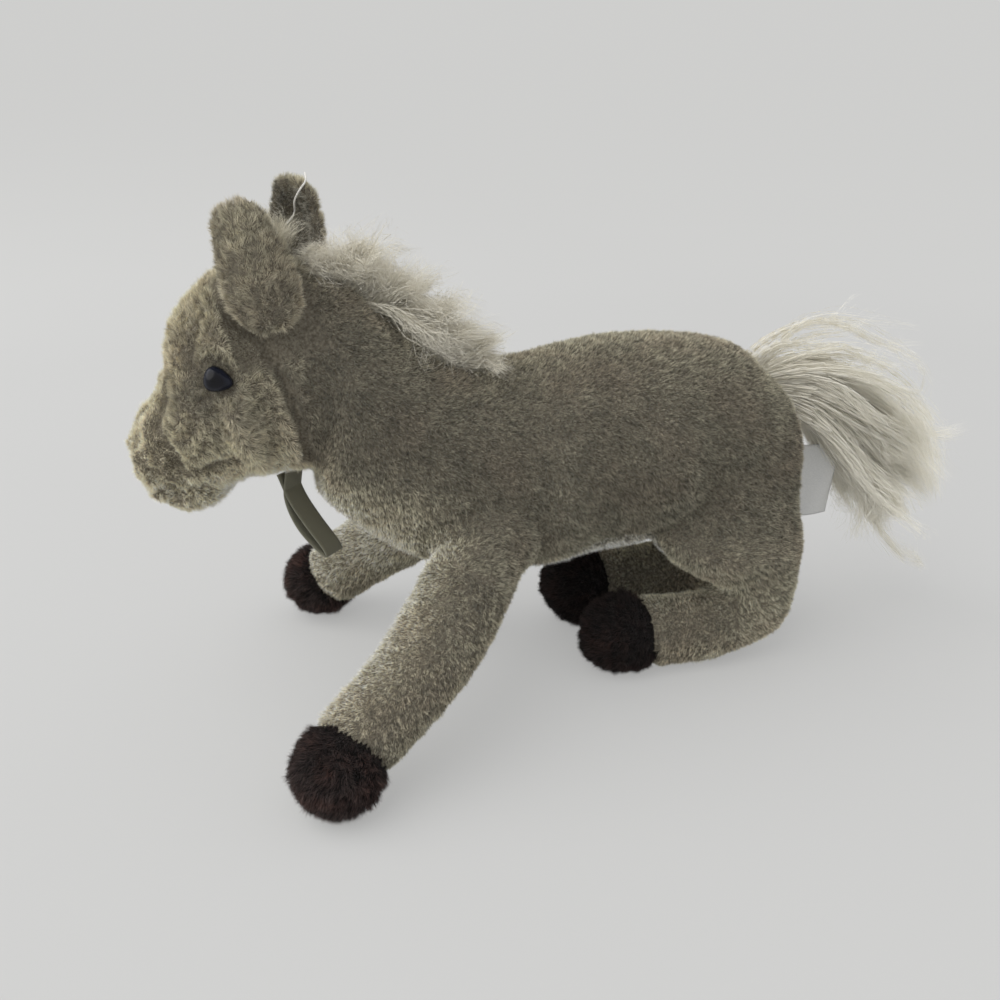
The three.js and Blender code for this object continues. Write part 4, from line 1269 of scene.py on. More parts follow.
def seated(tree, points, depth):
    """The places on the cloth that are nearest to points, sunk by depth."""
    out = np.array(points, float)
    for index, point in enumerate(out):
        place, normal, _, _ = tree.find_nearest(point)
        out[index] = np.array(place) - depth * np.array(normal)
    return out


def ear_form(size, ear, name):
    """A cupped, padded leaf whose tip rolls over, closed all round."""
    root, up, face, across = ear_frame(size, ear)
    rows, columns = 48, 32
    low = EAR_OUTLINE[0][0]
    u, v = np.meshgrid(np.linspace(low, 1, rows), np.linspace(-1, 1, columns), indexing="ij")
    width = spline_through(EAR_OUTLINE, np.linspace(0, 1, 200))
    width = np.interp(u, width[:, 0], width[:, 1])
    stand_off = 0.0024 * (1 - smooth_step(u, 0.05, 0.55))
    roll = 0.003 * smooth_step(u, 0.72, 1.0)
    middle = (
        root
        + u[..., None] * size.ear_length * up
        + (v * width * size.ear_width / 2)[..., None] * across
        + (-size.ear_cup * width * (1 - v**2) + 0.7 * size.ear_cup * u**2 + roll - stand_off)[..., None] * face
    )
    normal = unit(np.cross(np.gradient(middle, axis=0), np.gradient(middle, axis=1)))
    edge = np.sqrt(np.clip(1 - v**8, 0, 1)) * np.sqrt(np.clip(1 - np.abs(2 * (u - low) / (1 - low) - 1) ** 14, 0, 1))
    back = middle + normal * ((size.ear_thickness - size.cloth_inset) * (0.35 + 0.75 * edge))[..., None]
    front = middle - normal * (0.0012 * edge + 0.0002)[..., None]
    points = np.vstack([back.reshape(-1, 3), front.reshape(-1, 3)])
    layer = rows * columns
    grid = np.arange(layer).reshape(rows, columns)
    quads = grid_faces(rows, columns)
    rim = np.concatenate([grid[0, :-1], grid[:-1, -1], grid[-1, :0:-1], grid[:0:-1, 0]])
    ahead = np.roll(rim, -1)
    sides = np.stack([rim, ahead, ahead + layer, rim + layer], 1)
    ear_thing = new_mesh(name, points, np.vstack([quads, quads[:, ::-1] + layer, sides]))
    remesh(ear_thing, 0.0009)
    relax(ear_thing, 8)
    points, normals = coordinates(ear_thing), normals_of(ear_thing)
    reach = (points - root) @ up / size.ear_length
    dent = np.exp(-(((reach - 0.80) / 0.05) ** 2)) * ((normals @ face) < 0)
    set_coordinates(ear_thing, points - normals * (0.0012 * dent)[:, None])
    return ear_thing


# Long hair


def guided(guides, q, steps):
    """A path for each q between 0 and 1, between guide lines that stand at even places."""
    shares = np.linspace(0, 1, steps)
    fine = np.array([spline_through(np.array(line, float), shares) for line in guides])
    place = np.clip(q, 0, 1) * (len(fine) - 1)
    low = np.minimum(place.astype(int), len(fine) - 2)
    weight = (place - low)[:, None, None]
    return fine[low] * (1 - weight) + fine[low + 1] * weight


def gather_locks(paths, keys, clumps, pull, frizz, seed, wander=0.0032, curl=0.0012, firm=0.35):
    """Strands run together into curling locks towards their tips, each with a little wave of its own. Those
    whose keys are near one another share a lock. pull and firm say how tightly, wander how far locks stray."""
    rng = np.random.default_rng(seed)
    count, steps, _ = paths.shape
    leaders = rng.choice(count, clumps, replace=False)
    owner = np.zeros(count, int)
    best = np.full(count, np.inf)
    for k, leader in enumerate(leaders):
        away = ((keys - keys[leader]) ** 2).sum(1)
        closer = away < best
        owner[closer], best[closer] = k, away[closer]
    t = np.linspace(0, 1, steps)[None, :, None]
    phase, turns = rng.uniform(0, 2 * math.pi, (clumps, 1, 1)), rng.uniform(1.0, 2.5, (clumps, 1, 1))
    bow = rng.normal(0, 1, (clumps, 2, 3))
    bend = np.sin(phase + turns * 2 * math.pi * t) * bow[:, :1] + np.cos(phase + turns * 2 * math.pi * t) * bow[:, 1:]
    lead = paths[leaders] + rng.normal(0, 1, (clumps, 1, 3)) * wander * t**1.3 + bend * curl * t
    hold = pull * rng.uniform(firm, 1.0, (count, 1, 1)) * t**1.1
    paths = paths * (1 - hold) + lead[owner] * hold
    wave = rng.normal(0, 1, (count, 2, 3))
    phase = rng.uniform(0, 2 * math.pi, (count, 1, 1))
    turns = rng.uniform(0.6, 1.9, (count, 1, 1))
    sway = np.sin(phase + turns * 2 * math.pi * t) * wave[:, :1] + np.cos(phase + turns * 4.2 * t) * wave[:, 1:]
    return paths + sway * frizz * t * rng.uniform(0.3, 1.8, (count, 1, 1))


HAIR_LINE, HAIR_ROOM = 0.172, 0.026


def held_back(paths):
    """Hair that reaches past HAIR_LINE towards +X is drawn back, so that it goes no more than HAIR_ROOM past it."""
    over = np.maximum(paths[..., 0] - HAIR_LINE, 0)
    paths[..., 0] += HAIR_ROOM * (1 - np.exp(-over / HAIR_ROOM)) - over
    return paths


def hair_mesh(name, paths, width, tone, seed, material):
    """A flat tapering strip along each path."""
    rng = np.random.default_rng(seed)
    count, steps, _ = paths.shape
    tangent = unit(np.gradient(paths, axis=1))
    across = unit(np.cross(tangent, unit(rng.normal(size=(count, 1, 3)))))
    t = np.linspace(0, 1, steps)
    taper = (np.clip(1.03 - t, 0, 1) ** 0.8 * width / 2)[None, :, None] * rng.uniform(0.7, 1.3, (count, 1, 1))
    left, right = paths - across * taper, paths + across * taper
    points = np.concatenate([left[:, :-1], right[:, :-1], paths[:, -1:]], 1)
    points[..., 2] = np.maximum(points[..., 2], LOWEST_HAIR)
    size = 2 * (steps - 1) + 1
    k = np.arange(steps - 2)
    strip = np.concatenate(
        [
            np.stack([k, k + 1, k + steps], 1),
            np.stack([k + 1, k + steps, k + steps - 1], 1)[:, [1, 2, 0]],
            [[steps - 2, 2 * steps - 3, 2 * steps - 2]],
        ]
    )
    faces = (strip[None] + (np.arange(count) * size)[:, None, None]).reshape(-1, 3)
    thing = new_mesh(name, points.reshape(-1, 3), faces, [material], shade_smooth=False)
    store(thing, "along", np.tile(np.concatenate([t[:-1], t[:-1], [1.0]]), count))
    store(thing, "tone", np.repeat(tone, size))
    return thing


def hair_material(name, shade, cream):
    """Hair from shade at the root to cream at the tip, a little different from strand to strand."""
    material, shader = blank_material(name)
    middle = tuple(0.5 * (a + b) for a, b in zip(shade, cream))
    along = node(material, "ShaderNodeAttribute", attribute_name="along")
    tone = node(material, "ShaderNodeAttribute", attribute_name="tone")
    ramp = colour_ramp(material, along, "Fac", [(0.0, shade), (0.35, middle), (0.8, cream)])
    strands = colour_ramp(material, tone, "Fac", [(0, (0.7, 0.68, 0.63)), (0.45, (1, 1, 1)), (1, (1, 1, 1))])
    final = mixed(material, 1.0, (ramp, "Color"), (strands, "Color"), "MULTIPLY")
    link(material, final[0], final[1], shader, "Base Color")
    set_inputs(shader, Roughness=0.55, Specular_IOR_Level=0.3, Sheen_Weight=0.15)
    return material


NECK_IN_MM = np.array([-75.97, 0.0, 136.0])


def row_place(points):
    """Points of the toy's own place, in millimetres, as metres in the frame."""
    return np.asarray(points, float) / 1000 + (NECK - NECK_IN_MM / 1000)


def along_paths(steps):
    """How far along its path each step lies, from 0 to 1."""
    return np.linspace(0, 1, steps)[None, :, None]


def root_paths(tree, paths):
    """Draws the root of each path onto the cloth, and the rest of it less and less."""
    moved = seated(tree, paths[:, 0], HAIR_ROOT) - paths[:, 0]
    return paths + moved[:, None] * (1 - along_paths(paths.shape[1])) ** 2


def strand_tones(rng, count, middle, spread):
    """How light each strand is."""
    return np.clip(rng.normal(middle, spread, count), 0, 1)


# Pieces


class FOAL_OT_studio(bpy.types.Operator):
    """Camera at the photograph's angle, soft lamps, and a pale table top"""

    bl_idname = "foal.studio"
    bl_label = "Studio"

    room_colour = (1.0, 1.0, 0.985, 1)

    def execute(self, context):
        studio = settings(context, "foal_studio")
        scene = context.scene
        scene.view_settings.view_transform = "Standard"
        camera = bpy.data.objects.new("camera", bpy.data.cameras.new("camera"))
        scene.collection.objects.link(camera)
        camera.location = studio.camera_at
        look = Vector(studio.looks_at) - Vector(studio.camera_at)
        camera.rotation_euler = look.to_track_quat("-Z", "Y").to_euler()
        camera.data.lens = studio.lens
        camera.data.sensor_width = 36
        camera.data.clip_start = 0.01
        scene.camera = camera
        self.world(scene, studio)
        self.sun(scene, studio)
        self.table(studio)
        return {"FINISHED"}

    def world(self, scene, studio):
        """Soft light all round. The camera sees the room a little paler than the light it gives."""
        world = bpy.data.worlds.new("soft_room")
        scene.world = world
        world.use_nodes = True
        world.node_tree.nodes.clear()
        output = node(world, "ShaderNodeOutputWorld")
        light = node(world, "ShaderNodeBackground", Color=(0.97, 0.98, 1.0, 1), Strength=studio.sky)
        seen = node(world, "ShaderNodeBackground", Color=self.room_colour, Strength=studio.paleness)
        self.choose(world, self.seen_rays(world), light, seen, output)

    def seen_rays(self, owner):
        """1 for rays that the camera sees, also in gloss and through glass, as a node and its output."""
        ray = node(owner, "ShaderNodeLightPath")
        total = (ray, "Is Camera Ray")
        for name in ("Is Glossy Ray", "Is Transmission Ray"):
            total = (node(owner, "ShaderNodeMath", [(0, *total), (1, ray, name)], operation="MAXIMUM"), "Value")
        return total

    def choose(self, owner, factor, plain, seen, output):
        """Shows plain where the factor is 0 and seen where it is 1."""
        choice = node(owner, "ShaderNodeMixShader", [(0, *factor), (1, plain, 0), (2, seen, 0)])
        link(owner, choice, 0, output, "Surface")

    def sun(self, scene, studio):
        """One wide soft lamp, from above and the camera's left."""
        data = bpy.data.lights.new("window_light", "SUN")
        data.energy = studio.sun
        data.angle = math.radians(80)
        data.color = (1.0, 0.99, 0.965)
        lamp = bpy.data.objects.new("window_light", data)
        lamp.rotation_euler = Vector((1.0, 0.15, -0.95)).to_track_quat("-Z", "Y").to_euler()
        scene.collection.objects.link(lamp)

    def table(self, studio):
        """A flat top that reaches past all that the camera sees."""
        half, steps = 40.0, 8
        line = np.linspace(-half, half, steps + 1)
        x, y = np.meshgrid(line, line, indexing="xy")
        points = np.stack([x, y, 0 * x], -1).reshape(-1, 3)
        tint = tuple(studio.floor_colour)
        worn = tuple(0.975 * part for part in tint)
        material = grained_material(
            "pale_table_top", 2.5, 2.0, (0.3, worn), (0.7, tint), Roughness=0.8, Specular_IOR_Level=0.1
        )
        self.lift_paleness(material, studio)
        new_mesh("table_top", points, grid_faces(steps + 1, steps + 1), [material])

    def lift_paleness(self, material, studio):
        """The table is seen partly at the room's own level, wholly so far off, and in painted light paler to the left.
        """
        kinds = {made.type: made for made in material.node_tree.nodes}
        where = node(material, "ShaderNodeTexCoord")
        apart = node(material, "ShaderNodeSeparateXYZ", [("Vector", where, "Object")])
        # Painted light: near the toy the room's level on the table falls from left to right.
        aside = node(
            material, "ShaderNodeMapRange", [("Value", apart, "X")],
            From_Min=-0.45, From_Max=0.45, To_Min=0.80, To_Max=0.70,
        )
        away = node(material, "ShaderNodeVectorMath", [(0, where, "Object")], operation="LENGTH")
        near = node(material, "ShaderNodeMath", [(1, away, "Value")], operation="DIVIDE")
        near.inputs[0].default_value = 1.0
        far = node(
            material, "ShaderNodeMapRange", [("Value", near, "Value")], interpolation_type="SMOOTHSTEP",
            From_Max=1.7, To_Min=1.0, To_Max=0.0,
        )
        level = node(material, "ShaderNodeMix", [(0, far, "Result"), (2, aside, "Result")])
        level.inputs[3].default_value = studio.paleness
        seen = node(material, "ShaderNodeEmission", [("Strength", level, 0)], Color=self.room_colour)
        share = node(material, "ShaderNodeMapRange", [("Value", far, "Result")], To_Min=0.45, To_Max=1.0)
        rays = self.seen_rays(material)
        part = node(material, "ShaderNodeMath", [(0, *rays), (1, share, "Result")], operation="MULTIPLY")
        self.choose(material, (part, "Value"), kinds["BSDF_PRINCIPLED"], seen, kinds["OUTPUT_MATERIAL"])


class FOAL_OT_thread(bpy.types.Operator):
    """The loose sewing thread that hangs over the right ear"""

    bl_idname = "foal.thread"
    bl_label = "Loose thread"

    route = (
        (-0.11092, 0.04025, 0.1786), (-0.10742, 0.03615, 0.1838), (-0.10452, 0.02945, 0.1890),
        (-0.10492, 0.02285, 0.1940), (-0.10332, 0.01835, 0.1982), (-0.10092, 0.01875, 0.2013),
        (-0.10052, 0.02175, 0.2032), (-0.10032, 0.02535, 0.2034),
    )

    def execute(self, context):
        trim = settings(context, "foal_trim")
        line = spline_through(self.route, np.linspace(0, 1, 40))
        data = bpy.data.curves.new("loose_thread_line", "CURVE")
        data.dimensions = "3D"
        data.bevel_depth = trim.thread_diameter / 2
        data.bevel_resolution = 3
        data.use_fill_caps = True
        spline = data.splines.new("POLY")
        spline.points.add(len(line) - 1)
        spline.points.foreach_set("co", np.hstack([line, np.ones((len(line), 1))]).ravel())
        thread = bpy.data.objects.new("thread", data)
        context.scene.collection.objects.link(thread)
        cotton = grained_material(
            "spun_cotton", 2600.0, 1.0, (0.35, (0.62, 0.6, 0.56)), (0.65, (0.86, 0.85, 0.81)), Roughness=0.8
        )
        data.materials.append(cotton)
        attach(thread, "ear_right_body")
        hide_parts("loose_thread")
        return {"FINISHED"}


class FOAL_OT_cloth(bpy.types.Operator):
    """The sewn and stuffed cloth of trunk, head, legs and hooves"""

    bl_idname = "foal.cloth"
    bl_label = "Cloth"

    def execute(self, context):
        size = settings(context, "foal_sizes")
        form = whole_form(context)
        faces, label = cloth_labels(size, form)
        points, normals = coordinates(form), normals_of(form)
        shares = {key: stored(form, key) for key in ("pile_share", "tone_share")}
        # The backings are painted dark, as the shade under the pile.
        backing = {
            "plush": backing_material("olive_backing", (0.11, 0.095, 0.072), (0.24, 0.215, 0.165)),
            "belly_plush": backing_material("belly_backing", (0.14, 0.13, 0.105), (0.26, 0.245, 0.2)),
            "hoof_plush": backing_material("hoof_backing", (0.006, 0.005, 0.005), (0.02, 0.016, 0.015)),
        }
        for name, (body, nodes) in CLOTH.items():
            slot = plush_slot(name)
            piece, used = piece_of(name, points, normals, faces[label == name], backing[slot])
            store(piece, "flow", nap(size, points[used], normals[used], name))
            store(piece, "level", pile_level_with_painted_light(size, points[used], normals[used], name))
            for key, values in shares.items():
                store(piece, key, values[used])
            fasten(size, piece, name, body)
            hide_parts(*nodes)
        bpy.data.objects.remove(form)
        return {"FINISHED"}


class FOAL_OT_pile(bpy.types.Operator):
    """The short pile on the cloth, one blade for each tuft of fibres"""

    bl_idname = "foal.pile"
    bl_label = "Pile"

    def execute(self, context):
        size = settings(context, "foal_sizes")
        pile = settings(context, "foal_pile")
        # Each pile is painted darker towards its roots, as the shade deep in the pile.
        olive = fibre_material("olive_pile", tuple(pile.brown), tuple(pile.olive), (0.50, 0.39, 0.29), 0.3)
        fluffy = fibre_material(
            "head_pile", tuple(1.9 * c for c in pile.brown), tuple(0.98 * c for c in pile.olive),
            (0.60, 0.50, 0.39), 0.35, specks=(0.55, 0.95, 1.12),
        )
        belly = fibre_material("belly_pile", (0.36, 0.335, 0.27), (0.92, 0.89, 0.77), (0.6, 0.55, 0.45), 0.25)
        hoof = fibre_material(
            "hoof_pile", tuple(pile.hoof_root), tuple(pile.hoof_tip), (0.13, 0.06, 0.045), 0.1,
            patch=90.0, specks=(0.2, 0.9, 1.9),
        )
        for seed, (name, (body, _)) in enumerate(CLOTH.items(), 11):
            shaggy = name.startswith("head")
            hooved = "hoof" in name
            long_pile = shaggy or hooved
            grow_pile(
                bpy.data.objects[name],
                length=pile.hoof_length if hooved else pile.head_length if shaggy else pile.body_length,
                lean=pile.lean,
                width=pile.width * (1.15 if hooved else 1),
                density=pile.per_square_mm * 1e6,
                seed=seed,
                material=hoof if hooved else belly if "belly" in name else fluffy if shaggy else olive,
                tuft_scale=0.007 if long_pile else 0.004,
                tuft_swing=0.9 if long_pile else 0.35,
                gather=(0.0036, 0.34, 0.17) if long_pile else (0.0022, 0.34, 0.34),
                fasten_piece=lambda made, name=name, body=body: fasten(size, made, name, body),
                clear=self.clear_of_eyes if shaggy else None,
            )
        return {"FINISHED"}

    def clear_of_eyes(self, points):
        """Which points lie outside the rims of both eyes."""
        return np.minimum(*(eye_reach(side, points) for side in SIDES)) > 0.97


class FOAL_OT_ears(bpy.types.Operator):
    """Two cupped plush ears with a paler lining"""

    bl_idname = "foal.ears"
    bl_label = "Ears"

    def execute(self, context):
        size = settings(context, "foal_sizes")
        pile = settings(context, "foal_pile")
        olive, lining_pile = bpy.data.materials["head_pile"], bpy.data.materials["belly_pile"]
        backing = bpy.data.materials["olive_backing"]
        for side, ear in EARS.items():
            root, up, face, _ = ear_frame(size, ear)
            whole = ear_form(size, ear, f"ear_{side}_whole")
            points, normals, corners = coordinates(whole), normals_of(whole), face_corners(whole)
            reach = (points - root) @ up / size.ear_length
            inner = ((normals @ face) > 0.25)[corners].all(1) & (reach[corners].mean(1) < 0.95)
            for name, chosen, node_name, slot in (
                (f"ear_{side}_cloth", corners[~inner], f"ear_{side}", "plush"),
                (f"ear_{side}_lining_cloth", corners[inner], f"ear_lining_{side}", "belly_plush"),
            ):
                lined = "lining" in name
                piece, used = piece_of(name, points, normals, chosen, backing)
                flow = np.tile(up, (len(used), 1))
                flow = unit(flow - normals[used] * (flow * normals[used]).sum(1, keepdims=True))
                store(piece, "flow", flow)
                store(piece, "pile_share", np.ones(len(used)))
                store(piece, "tone_share", np.ones(len(used)))
                # Painted shade: the lining's pile is darker, for the shade inside the cupped ear.
                store(piece, "level", np.full(len(used), 0.72 if lined else 1.05))
                self.sew(side, root, up, piece)
                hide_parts(node_name)
                grow_pile(
                    piece,
                    length=pile.body_length * 0.8 if lined else pile.head_length * 0.9,
                    lean=pile.lean,
                    width=pile.width,
                    density=pile.per_square_mm * 1e6,
                    seed=70 + 3 * len(name),
                    material=lining_pile if lined else olive,
                    tuft_scale=0.006,
                    tuft_swing=0.8,
                    gather=(0.0040, 0.38, 0.18 if lined else 0.34),
                    fasten_piece=lambda made, side=side, root=root, up=up: self.sew(side, root, up, made),
                )
            bpy.data.objects.remove(whole)
        return {"FINISHED"}

    def sew(self, side, root, up, thing):
        """Leaves a piece of an ear fixed where it lies."""
        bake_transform(thing)


class FOAL_OT_eyes(bpy.types.Operator):
    """Glossy eyes on posts, and the washers that lock them"""

    bl_idname = "foal.eyes"
    bl_label = "Eyes"

    def execute(self, context):
        trim = settings(context, "foal_trim")
        material, shader = blank_material("dark_glossy_plastic")
        where = node(material, "ShaderNodeAttribute", attribute_name="along")
        shades = [(0.0, (0.003, 0.003, 0.004)), (0.55, (0.004, 0.004, 0.007)), (0.85, (0.012, 0.014, 0.024))]
        ramp = colour_ramp(material, where, "Fac", shades)
        link(material, ramp, "Color", shader, "Base Color")
        set_inputs(shader, Roughness=0.2, Specular_IOR_Level=0.2, Coat_Weight=0.1, Coat_Roughness=0.05)
        washer = grained_material(
            "moulded_washer", 1500.0, 2.0, (0.3, (0.7, 0.7, 0.68)), (0.7, (0.8, 0.8, 0.78)), Roughness=0.5
        )
        for side in SIDES:
            place, out, long_way = eye_place(side)
            self.eye(trim, side, place, out, long_way, material)
            cad = frame["nodes"][f"eye_washer_{side}"]
            cad.data.materials.clear()
            cad.data.materials.append(washer)
        return {"FINISHED"}

    def eye(self, trim, side, place, out, long_way, material):
        """A pear-shaped dome with a flat back and a post."""
        rounds, steps = 48, 14
        short_way = np.cross(out, long_way)
        angle = np.linspace(0, 2 * math.pi, rounds, endpoint=False)
        pear = 1 + 0.14 * np.cos(angle)
        squeeze = 1 - 0.24 * np.cos(angle)
        turns = [math.pi / 2 * k / (steps - 1) for k in range(steps)]
        levels = [(math.cos(t), trim.eye_dome * math.sin(t)) for t in turns]
        profile = [(1.0, -0.0008)] + levels[:-1] + [(0.02, trim.eye_dome)]
        points = [
            place
            + out * h
            + np.outer(np.cos(angle) * pear * r * trim.eye_length / 2, long_way)
            + np.outer(np.sin(angle) * squeeze * r * trim.eye_height / 2, short_way)
            for r, h in profile
        ]
        # Radius and depth of the post's rings
        post = [(0.0015, -0.0009), (0.0015, -0.0088), (0.0009, -0.0090)]
        stem = [
            place + out * h + np.outer(np.cos(angle) * r, long_way) + np.outer(np.sin(angle) * r, short_way)
            for r, h in post
        ]
        rings = stem[::-1] + points
        grid = np.arange(len(rings) * rounds).reshape(len(rings), rounds)
        quads = np.stack([grid[:-1], np.roll(grid[:-1], -1, 1), np.roll(grid[1:], -1, 1), grid[1:]], -1).reshape(-1, 4)
        made = new_mesh(f"eye_{side}_dome", np.vstack(rings), quads, [material])
        radius = [0.0] * len(post) + [r for r, _ in profile]
        store(made, "along", np.repeat(radius, rounds))
        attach(made, "head")
        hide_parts(f"eye_{side}")


def keep_inside(thing, tree, depth):
    """Moves each vertex that is less than depth under the cloth down to that depth."""
    points = coordinates(thing)
    for index, point in enumerate(points):
        place, normal, _, _ = tree.find_nearest(point)
        under = (place - Vector(point)).dot(normal)
        if under < depth:
            points[index] = point + np.array(normal) * (under - depth)
    set_coordinates(thing, points)


class FOAL_OT_filling(bpy.types.Operator):
    """Lumpy wads of loose fibre inside the cloth"""

    bl_idname = "foal.filling"
    bl_label = "Filling"

    fineness, lump, shrink, under_cloth = 0.0032, 0.0006, 0.0042, 0.0022

    def execute(self, context):
        material = grained_material(
            "loose_fibre", 700.0, 6.0, (0.3, (0.68, 0.68, 0.66)), (0.7, (0.9, 0.9, 0.88)), (0.8, 0.001), 0.7,
            Roughness=1.0,
        )
        tree = cloth_tree()
        for name, cad in frame["nodes"].items():
            if not name.endswith("_filling"):
                continue
            body = cad["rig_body"]
            corners = np.array([list(p.vertices) for p in cad.data.polygons])
            points = np.array([v.co for v in cad.data.vertices], float)
            wad = new_mesh(name.replace("_filling", "_wad"), points, corners, [material])
            remesh(wad, self.fineness)
            relax(wad, 3)
            place, normals = coordinates(wad), normals_of(wad)
            lumps = self.lump * cosine_noise(place, 0.011, len(name)) - self.shrink
            set_coordinates(wad, place + normals * np.minimum(lumps, 0)[:, None])
            relax(wad, 4)
            keep_inside(wad, tree, self.under_cloth)
            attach(wad, body)
            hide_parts(name)
        return {"FINISHED"}


class FOAL_OT_mane(bpy.types.Operator):
    """The strip of long pile along the crest of the neck"""

    bl_idname = "foal.mane"
    bl_label = "Mane"

    crest = (
        (-69, 0, 176), (-64, 0, 174), (-57, 0, 169.5), (-48, 0, 163),
        (-40, 0, 154), (-31, 0, 146), (-22, 0, 139.5), (-12, 0, 137),
    )
    sweep = ((4, 0, 3), (7, 0, 8), (12, 0, 12), (18, 0, 12), (23, 0, 9), (24, 0, 6), (18, 0, 5), (9, 0, 4))

    def execute(self, context):
        hair = settings(context, "foal_hair")
        rng = np.random.default_rng(5)
        count, steps = hair.mane_strands, 12
        cream = hair_material("cream_hair", tuple(hair.shade), tuple(hair.cream))
        s = rng.beta(1.0, 1.0, count)
        y = rng.uniform(-1, 1, count) * (5.5 + 3 * smooth_step(s, 0.0, 0.25)) - 0.5
        crest, sweep = (spline_through(np.array(line, float), s) for line in (self.crest, self.sweep))
        tree = cloth_tree()
        root = seated(tree, row_place(crest + np.stack([0 * y, y, -0.028 * y**2], 1)), MANE_ROOT)
        reach = rng.uniform(0.5, 1.18, count)[:, None]
        tip = sweep * reach + np.stack([0 * y, 0.45 * y + rng.normal(0, 2.0, count), -0.02 * y**2], 1)
        bow = tip * 0.45 + np.stack([0 * y, 0.35 * y, 4.0 + 0 * y], 1) * reach
        t = along_paths(steps)
        paths = root[:, None] + (2 * t * (1 - t) * bow[:, None] + t**2 * tip[:, None]) / 1000
        keys = np.stack([s * 60, y * 0.6], 1)
        paths = gather_locks(
            paths, keys, clumps=170, pull=0.86, frizz=0.0017, seed=6, wander=0.0050, curl=0.0048, firm=0.5
        )
        tone = strand_tones(rng, count, 0.6, 0.25)
        mane = hair_mesh("mane_hair", paths, hair.strand_width, tone, 7, cream)
        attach(mane, "trunk")
        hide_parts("mane")
        self.fallen_lock(hair, cream, tree)
        return {"FINISHED"}

    def fallen_lock(self, hair, cream, tree):
        """A lock that has fallen over the near side of the neck, and stray hairs about it."""
        rng = np.random.default_rng(15)
        count, steps = 150, 14
        guides = (
            ((-50, -10, 163.5), (-45, -15, 161.5), (-40, -18, 156), (-36, -20, 150), (-32, -20.5, 144)),
            ((-48, -9.5, 162), (-41, -14, 160), (-34, -17, 154), (-27, -19, 147), (-22, -19, 141)),
            ((-46, -9, 160), (-37, -13, 159), (-27, -15, 152), (-19, -16, 145), (-14, -17, 140)),
        )
        q = rng.beta(1.1, 1.6, count)
        paths = row_place(guided(guides, q, steps))
        paths = root_paths(tree, paths + rng.normal(0, 0.0011, (count, 1, 3)))
        keys = np.stack([q * 10, 0 * q], 1)
        paths = gather_locks(paths, keys, clumps=12, pull=0.5, frizz=0.0026, seed=16, wander=0.0040, curl=0.0050)
        tone = strand_tones(rng, count, 0.7, 0.2)
        lock = hair_mesh("mane_fallen_lock", paths, hair.strand_width, tone, 17, cream)
        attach(lock, "trunk")


class FOAL_OT_forelock(bpy.types.Operator):
    """The tuft between the ears"""

    bl_idname = "foal.forelock"
    bl_label = "Forelock"

    def execute(self, context):
        hair = settings(context, "foal_hair")
        size = settings(context, "foal_sizes")
        rng = np.random.default_rng(25)
        count, steps = hair.forelock_strands, 8
        root = head_place(size, 0.0095, 0.003, 0.0415)
        spot = rng.normal(0, 1, (count, 3)) * (0.0026, 0.0030, 0.0012)
        lean = unit(spot * (0.6, 0.6, 0) + (-0.0005, 0, 0.008) + rng.normal(0, 0.0012, (count, 3)))
        curl = unit(spot * (1.0, 1.0, 0) + (-0.002, -0.002, -0.001) + rng.normal(0, 0.0025, (count, 3)))
        length = rng.uniform(0.009, 0.015, (count, 1))
        t = along_paths(steps)
        paths = (root + spot)[:, None] + (lean * length)[:, None] * t + (curl * length)[:, None] * (t**2) * 0.45
        paths = gather_locks(paths, spot * 1000, clumps=24, pull=0.7, frizz=0.0005, seed=26)
        material = hair_material("forelock_hair", (0.36, 0.33, 0.26), (0.72, 0.68, 0.56))
        tone = strand_tones(rng, count, 0.6, 0.25)
        tuft = hair_mesh("forelock_hair", paths, hair.strand_width, tone, 27, material)
        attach(tuft, "head")
        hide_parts("forelock")
        return {"FINISHED"}


